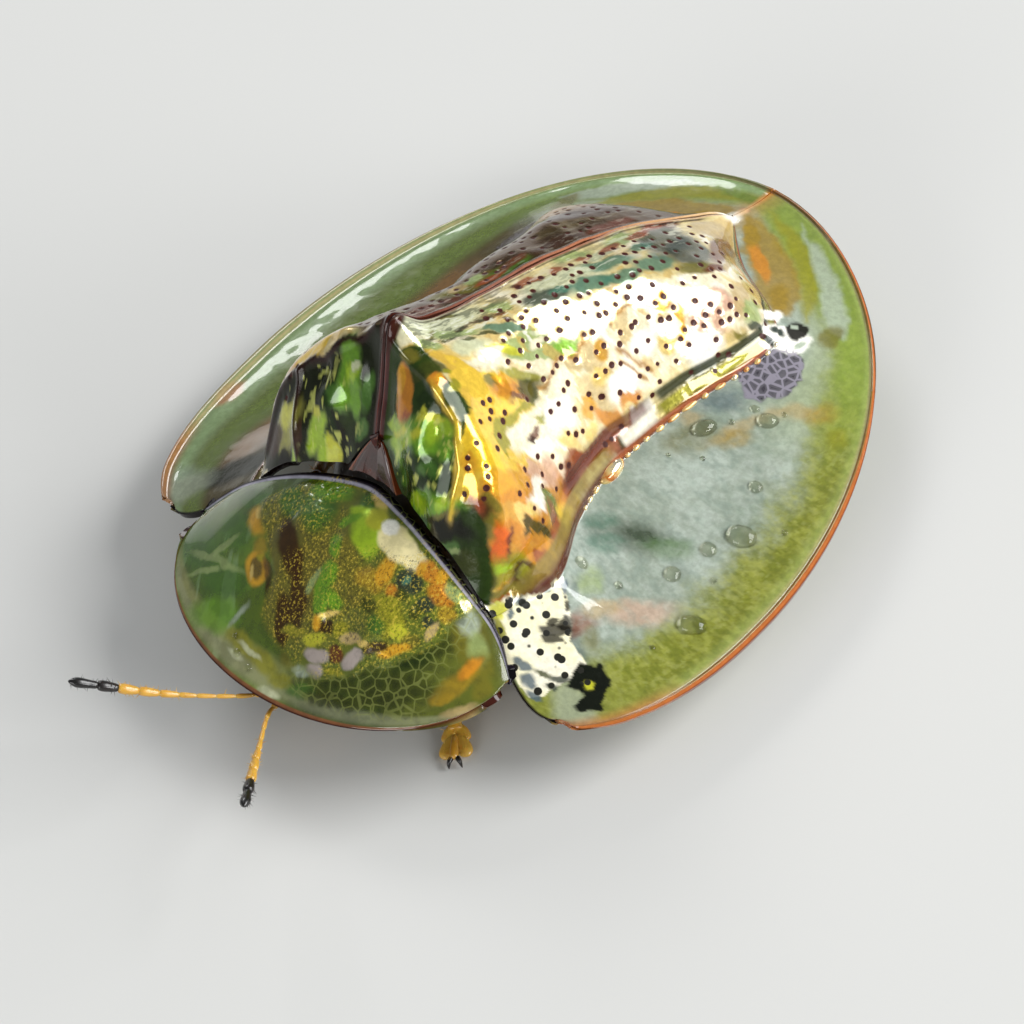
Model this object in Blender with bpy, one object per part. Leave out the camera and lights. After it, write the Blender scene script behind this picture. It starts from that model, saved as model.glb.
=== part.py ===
"""Golden tortoise beetle, life size, standing with its feelers out. Metres, +Z up, head towards -Y.

Sizes are in millimetres in the beetle's own frame: x to its left, y to its rear, z up from the
mean level of the shell's rim. An empty carries that frame to the floor and turns it to metres.
"""

import math

import bmesh
import bpy
from mathutils import Vector

MM = 0.001

# Where the beetle's frame stands over the floor, with the whole animal centred
FLOOR_Z = -1.1
CENTRE_Y = -0.61

# Gap that neighbouring solids keep, and the least thickness of a plate
GAP = 0.3
PLATE = 0.5

# Rim of the wing cases, as superellipses before and behind the widest place
RIM_HALF_WIDTH = 5.84
RIM_REAR = 7.09
RIM_REAR_POWER = 1.9
RIM_FRONT = 5.15
RIM_FRONT_POWER = 2.55
RIM_SIDE_Z = -0.33
RIM_REAR_RISE = 0.52
RIM_FRONT_RISE = 0.60
RIM_CORNER_ANGLE = math.radians(130.5)
RIM_CORNER_ROUND = 0.14
RIM_EDGE = 0.36

# Raised disc of the wing cases: (y, half width) and (y, height of its foot)
DISC_OUTLINE = [
    (-3.02, 2.70), (-1.80, 3.05), (-0.50, 2.42), (0.60, 2.16), (2.20, 2.28),
    (4.20, 2.62), (4.75, 2.05), (5.30, 0.95), (6.10, 0.0),
]
DISC_FOOT = [(-3.02, 0.98), (-1.80, 0.85), (0.0, 0.78), (4.40, 0.60), (6.10, 0.52)]
DISC_POWER = 2.8
DISC_FRONT_Y = -3.02
DISC_REAR_Y = 6.10

# Grid of a wing case: rows front to rear, and shares of the way over the disc and the margin
ELYTRON_ROWS = 30
DISC_COLUMNS = [0.0, 0.2, 0.38, 0.54, 0.68, 0.8, 0.9, 1.0]
MARGIN_COLUMNS = [0.12, 0.28, 0.46, 0.64, 0.82, 0.94, 1.0]
MARGIN_SAG = 1.25
RIM_LIP = 0.06

# Keel where the wing cases meet: (y, height), and the pointed hump on it
KEEL = [
    (-2.42, 2.05), (-2.10, 2.85), (-1.80, 3.45), (-1.12, 4.40), (-0.60, 4.25), (0.30, 3.85),
    (2.10, 3.20), (3.80, 2.35), (5.40, 1.15), (6.10, 0.55),
]
HUMP_Y = -1.12
HUMP_HEIGHT = 0.45
HUMP_RADIUS = 0.42
SHOULDER_AT = (2.3, -2.0)
SHOULDER_HEIGHT = 0.30
SHOULDER_RADIUS = 0.52

# Front edge of the wing cases, which the scutellum notches
FRONT_SLANT = 0.23
NOTCH_HALF_WIDTH = 0.90
NOTCH_DEPTH = 0.42
NOTCH_REACH = 0.16
SCUTELLUM_HALF_BASE = 0.50
SCUTELLUM_HALF_TIP = 0.06
SCUTELLUM_LENGTH = 0.24
SCUTELLUM_SINK = 0.05
SCUTELLUM_DEPTH = 0.75

# Pronotum
PRONOTUM_REAR_Y = -2.42
PRONOTUM_HALF_WIDTH = 3.46
PRONOTUM_SIDE_Y = -3.76
PRONOTUM_DEPTH = 2.15
PRONOTUM_REAR_Z = 2.12
PRONOTUM_SIDE_Z = 0.45
PRONOTUM_FRONT_Z = 0.28
PRONOTUM_EDGE = 0.30
PRONOTUM_EDGE_REACH = 1.2
PRONOTUM_COLUMNS = 25
PRONOTUM_ROWS = 10

# Body under the shell
BELLY_Z = -0.10
BODY_HALF_WIDTH = 1.70
PROTHORAX_Y = (-4.05, -2.95)
THORAX_Y = (-2.65, 0.35)
ABDOMEN_Y = (0.65, 4.70)
ABDOMEN_RINGS = 5
RING_LAP = 0.10
BELLY_RISE = 0.14
BODY_COLUMNS = 11

# Head, eyes and feelers
HEAD_CENTRE = (0.0, -4.78, -0.20)
HEAD_SIZE = (0.62, 0.42, 0.46)
LIP_DROP = 0.36
LIP_SIZE = (0.30, 0.22, 0.22)
JAW_DROP = 0.50
JAW_APART = 0.16
JAW_SIZE = (0.14, 0.13, 0.16)
EYE_SIZE = (0.30, 0.27, 0.36)
FEELER_RADIUS = 0.25
FEELER_SEGMENTS = 11
FEELER_ROOT = (0.30, -5.40, -0.42)
FEELER_BEND = (0.38, -5.90, -0.40)
FEELER_WAIST = 0.88
FEELER_END = 0.93
FEELER_TIP = {"left": (2.03, -8.22, 1.20), "right": (2.20, -7.97, 1.40)}

# Legs: root, knee, ankle and toe tip of the left legs, and how the right ones differ
THIGH_RADII = [0.20, 0.25, 0.28, 0.21]
KNEE_SIZE = (0.26, 0.27, 0.255)
SHIN_RADII = [0.22, 0.25, 0.26]
ANKLE_SIZE = (0.265, 0.27, 0.26)
FOOT_HEIGHT = 0.15
FOOT_JOINTS = [(0.25, 0.23), (0.45, 0.25)]
FOOT_JOINT_RISE = 0.09
FOOT_JOINT_HALF_HEIGHT = 0.27
LOBE_AT = 0.66
LOBE_APART = 0.15
LOBE_SIZE = (0.20, 0.21, 0.24)
CLAW_AT = (0.55, 0.90)
CLAW_APART = (0.04, 0.07, 0.14)
CLAW_RADII = [0.13, 0.11, 0.04]
LEG_STANCE = {
    "front": ((0.75, -3.40, -0.62), (2.75, -2.90, -0.40), (2.20, -3.92, -0.72), (2.80, -4.62, -0.90)),
    "middle": ((0.95, -1.45, -0.62), (3.00, -1.35, -0.34), (3.42, -0.30, -0.72), (3.72, 0.50, -0.90)),
    "hind": ((0.85, -0.15, -0.62), (2.70, 1.15, -0.36), (2.95, 2.45, -0.72), (3.30, 3.30, -0.90)),
}
RIGHT_FOOT_SHIFT = {"front": (-0.25, 0.45), "middle": (0.0, -0.55), "hind": (0.0, 0.40)}


def smooth_step(value):
    """0 to 1 with level ends."""
    t = min(max(value, 0.0), 1.0)
    return t * t * (3 - 2 * t)


def through(points, at):
    """The value at one place of a smooth curve through a few (place, value) points."""
    slopes = []
    last = len(points) - 1
    for i in range(last + 1):
        before, after = points[max(i - 1, 0)], points[min(i + 1, last)]
        slopes.append((after[1] - before[1]) / (after[0] - before[0]))
    i = 0
    while i < last - 1 and at > points[i + 1][0]:
        i += 1
    (x0, v0), (x1, v1) = points[i], points[i + 1]
    h = x1 - x0
    t = min(max((at - x0) / h, 0.0), 1.0)
    return (
        (2 * t**3 - 3 * t**2 + 1) * v0
        + (t**3 - 2 * t**2 + t) * h * slopes[i]
        + (-2 * t**3 + 3 * t**2) * v1
        + (t**3 - t**2) * h * slopes[i + 1]
    )


def bump(x, y, at, radius):
    """A round rise of height 1 at a place."""
    return math.exp(-((x - at[0]) ** 2 + (y - at[1]) ** 2) / radius**2)


def rim_point(angle):
    """The rim of a wing case at an angle from the tail, seen from above."""
    s, c = abs(math.sin(angle)), abs(math.cos(angle))
    reach, power = (RIM_REAR, RIM_REAR_POWER) if math.cos(angle) > 0 else (RIM_FRONT, RIM_FRONT_POWER)
    radius = ((s / RIM_HALF_WIDTH) ** power + (c / reach) ** power) ** (-1 / power)
    radius -= RIM_CORNER_ROUND * smooth_step((angle - RIM_CORNER_ANGLE) / math.radians(12) + 1)
    y = radius * math.cos(angle)
    rise = RIM_REAR_RISE * (y / RIM_REAR) ** 2 if y > 0 else RIM_FRONT_RISE * (y / RIM_FRONT) ** 2
    return Vector((radius * math.sin(angle), y, RIM_SIDE_Z + rise))


def disc_half_width(y):
    return max(through(DISC_OUTLINE, y), 0.0)


def disc_height(x, y):
    """Height of the raised disc over a place inside its outline."""
    forward = FRONT_SLANT * abs(x) * (1 - smooth_step((y + 1.5) / 2.5))
    foot = through(DISC_FOOT, y)
    crown = through(KEEL, y + forward)
    across = min(abs(x) / max(disc_half_width(y), 1e-6), 1.0)
    z = foot + (crown - foot) * (1 - across**DISC_POWER)
    z += HUMP_HEIGHT * bump(x, y, (0.0, HUMP_Y), HUMP_RADIUS)
    return z + SHOULDER_HEIGHT * bump(abs(x), y, SHOULDER_AT, SHOULDER_RADIUS)


def pronotum_rear_y(x):
    lobe = math.hypot(x, 0.2) - 0.2
    return PRONOTUM_REAR_Y - FRONT_SLANT * lobe - 0.57 * max(0.0, abs(x) - 2.7) ** 2


def pronotum_front_y(x):
    across = min(abs(x) / PRONOTUM_HALF_WIDTH, 1.0)
    return PRONOTUM_SIDE_Y - PRONOTUM_DEPTH * math.sqrt(1 - across**2)


def pronotum_height(x, y):
    """Height of the pronotum: a dome that levels out to its rim."""
    across = abs(x) / PRONOTUM_HALF_WIDTH
    rear = PRONOTUM_SIDE_Z + (PRONOTUM_REAR_Z - PRONOTUM_SIDE_Z) * (1 - (abs(x) / 3.5) ** 2)
    front = PRONOTUM_FRONT_Z + 0.17 * across**2
    back, fore = pronotum_rear_y(x), pronotum_front_y(x)
    t = min(max((y - back) / (fore - back), 0.0), 1.0)
    return front + (rear - front) * (1 - t * t) ** 1.3


def clear_below(height, x, y, plate, reach=0.04):
    """Underside of a plate of this thickness, measured square to its slope."""
    slope_x = (height(x + reach, y) - height(x - reach, y)) / (2 * reach)
    slope_y = (height(x, y + reach) - height(x, y - reach)) / (2 * reach)
    return height(x, y) - plate * math.sqrt(1 + slope_x**2 + slope_y**2)


def disc_underside(x, y):
    """Underside of the wing cases inside the disc, level with the margin's at its foot."""
    floor = through(DISC_FOOT, y) - PLATE
    return max(clear_below(disc_height, x, y, PLATE), floor)


def disc_top_under_shell(x, y):
    return disc_underside(x, y) - GAP


def pronotum_underside(x, y):
    back, fore = pronotum_rear_y(x), pronotum_front_y(x)
    inside = min(max((y - fore) / PRONOTUM_EDGE_REACH, 0.0), 1.0)
    plate = PRONOTUM_EDGE + (PLATE - PRONOTUM_EDGE) * smooth_step(inside)
    y_in = min(max(y, fore + 0.06), back - 0.06)
    return pronotum_height(x, y) - (pronotum_height(x, y_in) - clear_below(pronotum_height, x, y_in, plate))


def new_material(name, color, roughness, metallic=0.0):
    material = bpy.data.materials.new(name)
    material.use_nodes = True
    shader = material.node_tree.nodes["Principled BSDF"]
    shader.inputs["Base Color"].default_value = (*color, 1.0)
    shader.inputs["Roughness"].default_value = roughness
    shader.inputs["Metallic"].default_value = metallic
    return material


def new_object(name, mesh, material, scene_parts):
    """An object in the beetle's frame, shaded smooth but for its sharp edges."""
    obj = bpy.data.objects.new(name, mesh)
    mesh.materials.clear()
    mesh.materials.append(material)
    mesh.shade_smooth()
    mesh.set_sharp_from_angle(angle=math.radians(50))
    scene_parts["collection"].objects.link(obj)
    obj.parent = scene_parts["frame"]
    return obj


def closed_plate(name, top, under):
    """A plate between two grids of points, rows of equal length, split into triangles alike on both."""
    bm = bmesh.new()
    rows, columns = len(top), len(top[0])
    upper = [[bm.verts.new(p) for p in row] for row in top]
    lower = [[bm.verts.new(p) for p in row] for row in under]
    for i in range(rows - 1):
        for j in range(columns - 1):
            a, b, c, d = (i, j), (i, j + 1), (i + 1, j + 1), (i + 1, j)
            for triangle in ((a, b, c), (a, c, d)):
                bm.faces.new([upper[r][k] for r, k in triangle])
                bm.faces.new([lower[r][k] for r, k in reversed(triangle)])
    border = [(0, j) for j in range(columns)]
    border += [(i, columns - 1) for i in range(1, rows)]
    border += [(rows - 1, j) for j in range(columns - 2, -1, -1)]
    border += [(i, 0) for i in range(rows - 2, 0, -1)]
    for (i, j), (k, l) in zip(border, border[1:] + border[:1]):
        bm.faces.new([upper[i][j], lower[i][j], lower[k][l], upper[k][l]])
    bmesh.ops.remove_doubles(bm, verts=bm.verts, dist=1e-4)
    bmesh.ops.recalc_face_normals(bm, faces=bm.faces)
    mesh = bpy.data.meshes.new(name)
    bm.to_mesh(mesh)
    bm.free()
    return mesh


def elytron(name, side, material, scene_parts):
    """One wing case: the raised disc from the keel to its foot, then the wide flat margin."""
    keel_x = GAP / 2
    front_y = DISC_FRONT_Y + GAP
    top, under = [], []
    for i in range(ELYTRON_ROWS + 1):
        q = i / ELYTRON_ROWS
        y_disc = front_y + (DISC_REAR_Y - front_y) * q
        y_keel = y_disc + (0.6 - 0.3 * q) * (1 - q)
        half = max(disc_half_width(y_disc), keel_x)
        corner = RIM_CORNER_ANGLE * (1 - q) ** 0.82
        rim = rim_point(corner)
        rim.x = max(rim.x, keel_x)
        upper_row, lower_row = [], []
        for share in DISC_COLUMNS:
            x = keel_x + (half - keel_x) * share
            y = y_keel + (y_disc - y_keel) * share
            if q < NOTCH_REACH:
                notch = max(0.0, 1 - x / NOTCH_HALF_WIDTH) * NOTCH_DEPTH
                y += notch * (1 - q / NOTCH_REACH)
            upper_row.append(Vector((side * x, y, disc_height(x, y))))
            lower_row.append(Vector((side * x, y, disc_underside(x, y))))
        foot = Vector((half, y_disc, through(DISC_FOOT, y_disc)))
        foot_under = disc_underside(half, y_disc)
        for share in MARGIN_COLUMNS:
            x = foot.x + (rim.x - foot.x) * share
            y = foot.y + (rim.y - foot.y) * share
            z = rim.z + (foot.z - rim.z) * (1 - share) ** MARGIN_SAG + RIM_LIP * share**4
            plate = (foot.z - foot_under) + (RIM_EDGE - (foot.z - foot_under)) * share**3
            upper_row.append(Vector((side * x, y, z)))
            lower_row.append(Vector((side * x, y, z - plate)))
        top.append(upper_row)
        under.append(lower_row)
    mesh = closed_plate(name, top, under)
    return new_object(name, mesh, material, scene_parts)


def scutellum(material, scene_parts):
    """The small triangular plate between the bases of the wing cases."""
    rows, columns = 4, 5
    top, under = [], []
    for i in range(rows):
        share = i / (rows - 1)
        y = PRONOTUM_REAR_Y + GAP * 0.6 + SCUTELLUM_LENGTH * share
        half = SCUTELLUM_HALF_BASE * (1 - share) + SCUTELLUM_HALF_TIP
        line = [half * (2 * j / (columns - 1) - 1) for j in range(columns)]
        top.append([Vector((x, y, disc_height(x, y) - SCUTELLUM_SINK)) for x in line])
        under.append([Vector((x, y, disc_height(x, y) - SCUTELLUM_DEPTH)) for x in line])
    return new_object("scutellum", closed_plate("scutellum", top, under), material, scene_parts)


def pronotum(material, scene_parts):
    """The shield over head and prothorax."""
    top, under = [], []
    for i in range(PRONOTUM_ROWS):
        share = i / (PRONOTUM_ROWS - 1)
        upper_row, lower_row = [], []
        for j in range(PRONOTUM_COLUMNS):
            across = 2 * j / (PRONOTUM_COLUMNS - 1) - 1
            x = PRONOTUM_HALF_WIDTH * math.sin(math.pi / 2 * across)
            back, fore = pronotum_rear_y(x), pronotum_front_y(x)
            y = back + (fore - back) * share
            upper_row.append(Vector((x, y, pronotum_height(x, y))))
            lower_row.append(Vector((x, y, pronotum_underside(x, y))))
        top.append(upper_row)
        under.append(lower_row)
    return new_object("pronotum", closed_plate("pronotum", top, under), material, scene_parts)


def body_block(name, span, half_width, ceiling, belly, material, scene_parts, rows=8):
    """A length of the body under the shell, from its belly up to just below a plate."""
    top, under = [], []
    for i in range(rows + 1):
        y = span[0] + (span[1] - span[0]) * i / rows
        half = half_width(y)
        across = [2 * j / (BODY_COLUMNS - 1) - 1 for j in range(BODY_COLUMNS)]
        line = [half * math.sin(math.pi / 2 * share) for share in across]
        top.append([Vector((x, y, ceiling(x, y))) for x in line])
        under.append([Vector((x, y, belly(x, y, half))) for x in line])
    return new_object(name, closed_plate(name, top, under), material, scene_parts)


def belly_height(x, y, half):
    """Belly that rises a little to its sides."""
    return BELLY_Z + BELLY_RISE * (x / half) ** 2


def ringed_belly(x, y, half):
    """Belly of the abdomen, each ring lying a little over the next."""
    ring = (y - ABDOMEN_Y[0]) / (ABDOMEN_Y[1] - ABDOMEN_Y[0]) * ABDOMEN_RINGS
    return belly_height(x, y, half) + RING_LAP * (1 - ring % 1.0) * min(1.0, ring)


def prothorax_half_width(y):
    share = (PROTHORAX_Y[1] - y) / (PROTHORAX_Y[1] - PROTHORAX_Y[0])
    return BODY_HALF_WIDTH * (0.88 - 0.22 * share**2)


def thorax_half_width(y):
    share = (y - THORAX_Y[0]) / (THORAX_Y[1] - THORAX_Y[0])
    return BODY_HALF_WIDTH * (0.86 + 0.14 * math.sin(math.pi * min(0.5 + 0.5 * share, 0.9) - math.pi / 4))


def abdomen_half_width(y):
    share = (y - ABDOMEN_Y[0]) / (ABDOMEN_Y[1] - ABDOMEN_Y[0])
    return BODY_HALF_WIDTH * math.sqrt(1 - 0.93 * share**3)


def ellipsoid(centre, size, segments=8, rings=6):
    """A round lump as a temporary mesh object."""
    bm = bmesh.new()
    bmesh.ops.create_uvsphere(bm, u_segments=segments, v_segments=rings, radius=1.0)
    for vertex in bm.verts:
        vertex.co = Vector([c + s * v for c, s, v in zip(centre, size, vertex.co)])
    mesh = bpy.data.meshes.new("lump")
    bm.to_mesh(mesh)
    bm.free()
    return bpy.data.objects.new("lump", mesh)


def tube(points, radii, sides=2):
    """A tapered tube through points, with filled caps, as a temporary mesh object."""
    curve = bpy.data.curves.new("tube", "CURVE")
    curve.dimensions = "3D"
    curve.bevel_depth = 1.0
    curve.bevel_resolution = sides
    curve.use_fill_caps = True
    spline = curve.splines.new("POLY")
    spline.points.add(len(points) - 1)
    for point, place, radius in zip(spline.points, points, radii):
        point.co = (*place, 1.0)
        point.radius = radius
    holder = bpy.data.objects.new("tube", curve)
    bpy.context.scene.collection.objects.link(holder)
    graph = bpy.context.evaluated_depsgraph_get()
    mesh = bpy.data.meshes.new_from_object(holder.evaluated_get(graph))
    bpy.data.objects.remove(holder)
    bm = bmesh.new()
    bm.from_mesh(mesh)
    bmesh.ops.remove_doubles(bm, verts=bm.verts, dist=1e-4)
    bmesh.ops.recalc_face_normals(bm, faces=bm.faces)
    bm.to_mesh(mesh)
    bm.free()
    return bpy.data.objects.new("tube", mesh)


def largest_piece(mesh):
    """Keeps only the largest closed surface of a mesh."""
    bm = bmesh.new()
    bm.from_mesh(mesh)
    left = set(bm.faces)
    shells = []
    while left:
        shell, edge_of = set(), [left.pop()]
        while edge_of:
            face = edge_of.pop()
            shell.add(face)
            for edge in face.edges:
                for other in edge.link_faces:
                    if other in left:
                        left.remove(other)
                        edge_of.append(other)
        shells.append(shell)
    keep = max(shells, key=len)
    bmesh.ops.delete(bm, geom=[f for f in bm.faces if f not in keep], context="FACES")
    bm.to_mesh(mesh)
    bm.free()


def fused(name, pieces, material, scene_parts, floor=None):
    """One closed body from overlapping pieces, cut level where it meets the floor."""
    holding = bpy.data.collections.new(name + "_pieces")
    bpy.context.scene.collection.children.link(holding)
    base, *others = pieces
    bpy.context.scene.collection.objects.link(base)
    for piece in others:
        holding.objects.link(piece)
    join = base.modifiers.new("join", "BOOLEAN")
    join.operation = "UNION"
    join.operand_type = "COLLECTION"
    join.collection = holding
    join.solver = "EXACT"
    if floor is not None:
        bm = bmesh.new()
        bmesh.ops.create_cube(bm, size=20.0)
        bmesh.ops.translate(bm, verts=bm.verts, vec=(0, 0, floor - 10.0))
        mesh = bpy.data.meshes.new("floor_cut")
        bm.to_mesh(mesh)
        bm.free()
        ground = bpy.data.objects.new("floor_cut", mesh)
        bpy.context.scene.collection.objects.link(ground)
        cut = base.modifiers.new("floor", "BOOLEAN")
        cut.operation = "DIFFERENCE"
        cut.object = ground
        cut.solver = "EXACT"
    graph = bpy.context.evaluated_depsgraph_get()
    graph.update()
    mesh = bpy.data.meshes.new_from_object(base.evaluated_get(graph))
    mesh.name = name
    for piece in pieces:
        bpy.data.objects.remove(piece)
    if floor is not None:
        bpy.data.objects.remove(ground)
    bpy.data.collections.remove(holding)
    largest_piece(mesh)
    return new_object(name, mesh, material, scene_parts)


def head(material, scene_parts):
    """The head bent down under the shield, with the upper lip and the jaws below it."""
    x, y, z = HEAD_CENTRE
    pieces = [ellipsoid(HEAD_CENTRE, HEAD_SIZE, 16, 10)]
    pieces.append(ellipsoid((x, y - 0.12, z - LIP_DROP), LIP_SIZE, 12, 8))
    for side in (-1, 1):
        pieces.append(ellipsoid((x + side * JAW_APART, y - 0.14, z - JAW_DROP), JAW_SIZE))
    return fused("head", pieces, material, scene_parts)


def eye(name, side, material, scene_parts):
    """A domed eye whose flat inner face looks at the side of the head."""
    bm = bmesh.new()
    bmesh.ops.create_uvsphere(bm, u_segments=12, v_segments=8, radius=1.0)
    bmesh.ops.bisect_plane(
        bm, geom=bm.verts[:] + bm.edges[:] + bm.faces[:], plane_co=(0, 0, 0), plane_no=(side, 0, 0),
        clear_inner=True,
    )
    bmesh.ops.holes_fill(bm, edges=[e for e in bm.edges if e.is_boundary])
    for vertex in bm.verts:
        v = vertex.co
        vertex.co = (EYE_SIZE[0] * v.x, EYE_SIZE[1] * v.y, EYE_SIZE[2] * v.z)
    bmesh.ops.recalc_face_normals(bm, faces=bm.faces)
    mesh = bpy.data.meshes.new(name)
    bm.to_mesh(mesh)
    bm.free()
    obj = new_object(name, mesh, material, scene_parts)
    inner = HEAD_SIZE[0] + GAP / 2
    obj.location = (side * inner, HEAD_CENTRE[1] - 0.02, HEAD_CENTRE[2] + 0.10)
    return obj


def feeler(name, side, material, scene_parts):
    """A feeler of eleven joints that passes under the shield's rim and rises forward."""
    places = (FEELER_ROOT, FEELER_BEND, FEELER_TIP["left" if side > 0 else "right"])
    root, under_rim, tip = [Vector((side * x, y, z)) for x, y, z in places]
    points, radii = [], []
    steps = FEELER_SEGMENTS * 3
    for i in range(steps + 1):
        t = i / steps
        place = root * (1 - t) ** 2 + under_rim * 2 * t * (1 - t) + tip * t * t
        within = (t * FEELER_SEGMENTS) % 1.0
        swell = 0.85
        if 0 < i < steps:
            swell = FEELER_WAIST + (1 - FEELER_WAIST) * math.sin(math.pi * within) ** 0.5
        club = 1.0 if t < FEELER_END else 1.0 - 4.5 * (t - FEELER_END)
        points.append(place)
        radii.append(FEELER_RADIUS * swell * club)
    mesh = tube(points, radii).data
    mesh.name = name
    return new_object(name, mesh, material, scene_parts)


def leg(name, stance, side, material, scene_parts):
    """Thigh, shin and foot, with the two-lobed pad and the claws flat on the floor."""
    root, knee, ankle, toe = [Vector((side * x, y, z)) for x, y, z in stance]
    along = (toe - ankle)
    along.z = 0.0
    along.normalize()
    across = Vector((-along.y, along.x, 0.0))
    pieces = [
        tube([root, root.lerp(knee, 0.2), root.lerp(knee, 0.55), root.lerp(knee, 0.97)], THIGH_RADII),
        ellipsoid(knee, KNEE_SIZE),
        tube([knee.lerp(ankle, 0.04), knee.lerp(ankle, 0.5), ankle], SHIN_RADII),
        ellipsoid(ankle, ANKLE_SIZE),
    ]
    pad_z = FLOOR_Z + FOOT_HEIGHT
    for share, width in FOOT_JOINTS:
        place = ankle.lerp(toe, share)
        place.z = pad_z + FOOT_JOINT_RISE
        pieces.append(ellipsoid(place, (width, width + 0.01, FOOT_JOINT_HALF_HEIGHT)))
    for lobe in (-1, 1):
        place = ankle.lerp(toe, LOBE_AT) + across * lobe * LOBE_APART
        place.z = pad_z
        pieces.append(ellipsoid(place, LOBE_SIZE))
        claw_root = ankle.lerp(toe, CLAW_AT[0]) + across * lobe * CLAW_APART[0]
        claw_root.z = pad_z + 0.05
        middle = ankle.lerp(toe, CLAW_AT[1]) + across * lobe * CLAW_APART[1]
        middle.z = pad_z + 0.06
        tip = toe + across * lobe * CLAW_APART[2]
        tip.z = FLOOR_Z + 0.07
        pieces.append(tube([claw_root, middle, tip], CLAW_RADII))
    return fused(name, pieces, material, scene_parts, floor=FLOOR_Z)


def right_stance(place):
    """The same leg on the right, its foot shifted as in a step."""
    root, knee, ankle, toe = LEG_STANCE[place]
    dx, dy = RIGHT_FOOT_SHIFT[place]
    ankle = (ankle[0] + dx, ankle[1] + dy, ankle[2])
    toe = (toe[0] + dx, toe[1] + dy, toe[2])
    knee = (knee[0], knee[1] + dy * 0.4, knee[2])
    return root, knee, ankle, toe


def build():
    for obj in list(bpy.data.objects):
        bpy.data.objects.remove(obj)
    collection = bpy.data.collections.new("tortoise_beetle")
    bpy.context.scene.collection.children.link(collection)
    frame = bpy.data.objects.new("beetle_frame", None)
    frame.location = (0.0, -CENTRE_Y * MM, -FLOOR_Z * MM)
    frame.scale = (MM, MM, MM)
    collection.objects.link(frame)
    scene_parts = {"collection": collection, "frame": frame}

    gold = new_material("gold_shell", (0.80, 0.62, 0.20), 0.2, 0.9)
    brown = new_material("brown_scutellum", (0.13, 0.03, 0.01), 0.25)
    straw = new_material("straw_limb", (0.75, 0.45, 0.08), 0.4)
    dark = new_material("dark_underside", (0.10, 0.05, 0.02), 0.4)
    black = new_material("black_eye", (0.01, 0.01, 0.01), 0.15)

    elytron("elytron_left", 1, gold, scene_parts)
    elytron("elytron_right", -1, gold, scene_parts)
    scutellum(brown, scene_parts)
    pronotum(gold, scene_parts)
    body_block(
        "prothorax", PROTHORAX_Y, prothorax_half_width,
        lambda x, y: pronotum_underside(x, y) - GAP, belly_height, dark, scene_parts, 5,
    )
    body_block(
        "thorax", THORAX_Y, thorax_half_width, disc_top_under_shell, belly_height, dark,
        scene_parts, 10,
    )
    body_block(
        "abdomen", ABDOMEN_Y, abdomen_half_width, disc_top_under_shell, ringed_belly, dark,
        scene_parts, 20,
    )
    head(straw, scene_parts)
    for word, side in (("left", 1), ("right", -1)):
        eye("eye_" + word, side, black, scene_parts)
        feeler("antenna_" + word, side, straw, scene_parts)
    for place in LEG_STANCE:
        leg("leg_" + place + "_left", LEG_STANCE[place], 1, straw, scene_parts)
        leg("leg_" + place + "_right", right_stance(place), -1, straw, scene_parts)


build()
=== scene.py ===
"""Looks of a golden tortoise beetle, life size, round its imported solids.

Shapes are worked out in millimetres in the beetle's own frame: x to its left, y to its rear and z up
from the mean level of the shell's rim. to_metres() carries them to the floor.
"""

import math

import bmesh
import bpy
import numpy as np
from bpy.props import FloatProperty, FloatVectorProperty, IntProperty, PointerProperty
from bpy.types import Operator, Panel, PropertyGroup
from mathutils import Matrix, Vector


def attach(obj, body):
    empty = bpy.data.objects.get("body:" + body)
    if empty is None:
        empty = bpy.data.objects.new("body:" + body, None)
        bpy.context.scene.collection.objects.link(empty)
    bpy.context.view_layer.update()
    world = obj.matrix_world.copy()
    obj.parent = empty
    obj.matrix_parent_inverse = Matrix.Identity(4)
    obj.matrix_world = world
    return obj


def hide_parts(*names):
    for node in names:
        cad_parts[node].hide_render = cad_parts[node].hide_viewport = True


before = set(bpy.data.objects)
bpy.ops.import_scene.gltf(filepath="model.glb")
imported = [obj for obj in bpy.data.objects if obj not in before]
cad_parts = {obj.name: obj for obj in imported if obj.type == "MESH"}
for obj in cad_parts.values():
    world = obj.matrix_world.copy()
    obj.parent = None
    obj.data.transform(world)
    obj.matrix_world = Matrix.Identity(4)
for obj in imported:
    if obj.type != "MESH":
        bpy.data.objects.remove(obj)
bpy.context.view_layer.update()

bl_info = {
    "name": "Golden tortoise beetle",
    "version": (1, 0, 0),
    "blender": (4, 5, 0),
    "location": "View3D > Sidebar > Beetle",
    "description": "Builds a life-size golden tortoise beetle and its plain studio",
    "category": "Add Mesh",
}

MM = 0.001
ROOT = "root"

# Where the beetle's own frame stands in the solids' frame, mm
BACK = 0.61
LIFT = 1.1

# Rim of the wing cases, as superellipses before and behind the widest place
RIM_HALF_WIDTH = 5.84
RIM_REAR, RIM_REAR_POWER = 7.09, 1.9
RIM_FRONT, RIM_FRONT_POWER = 5.15, 2.55
RIM_CORNER = math.radians(130.5)

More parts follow.
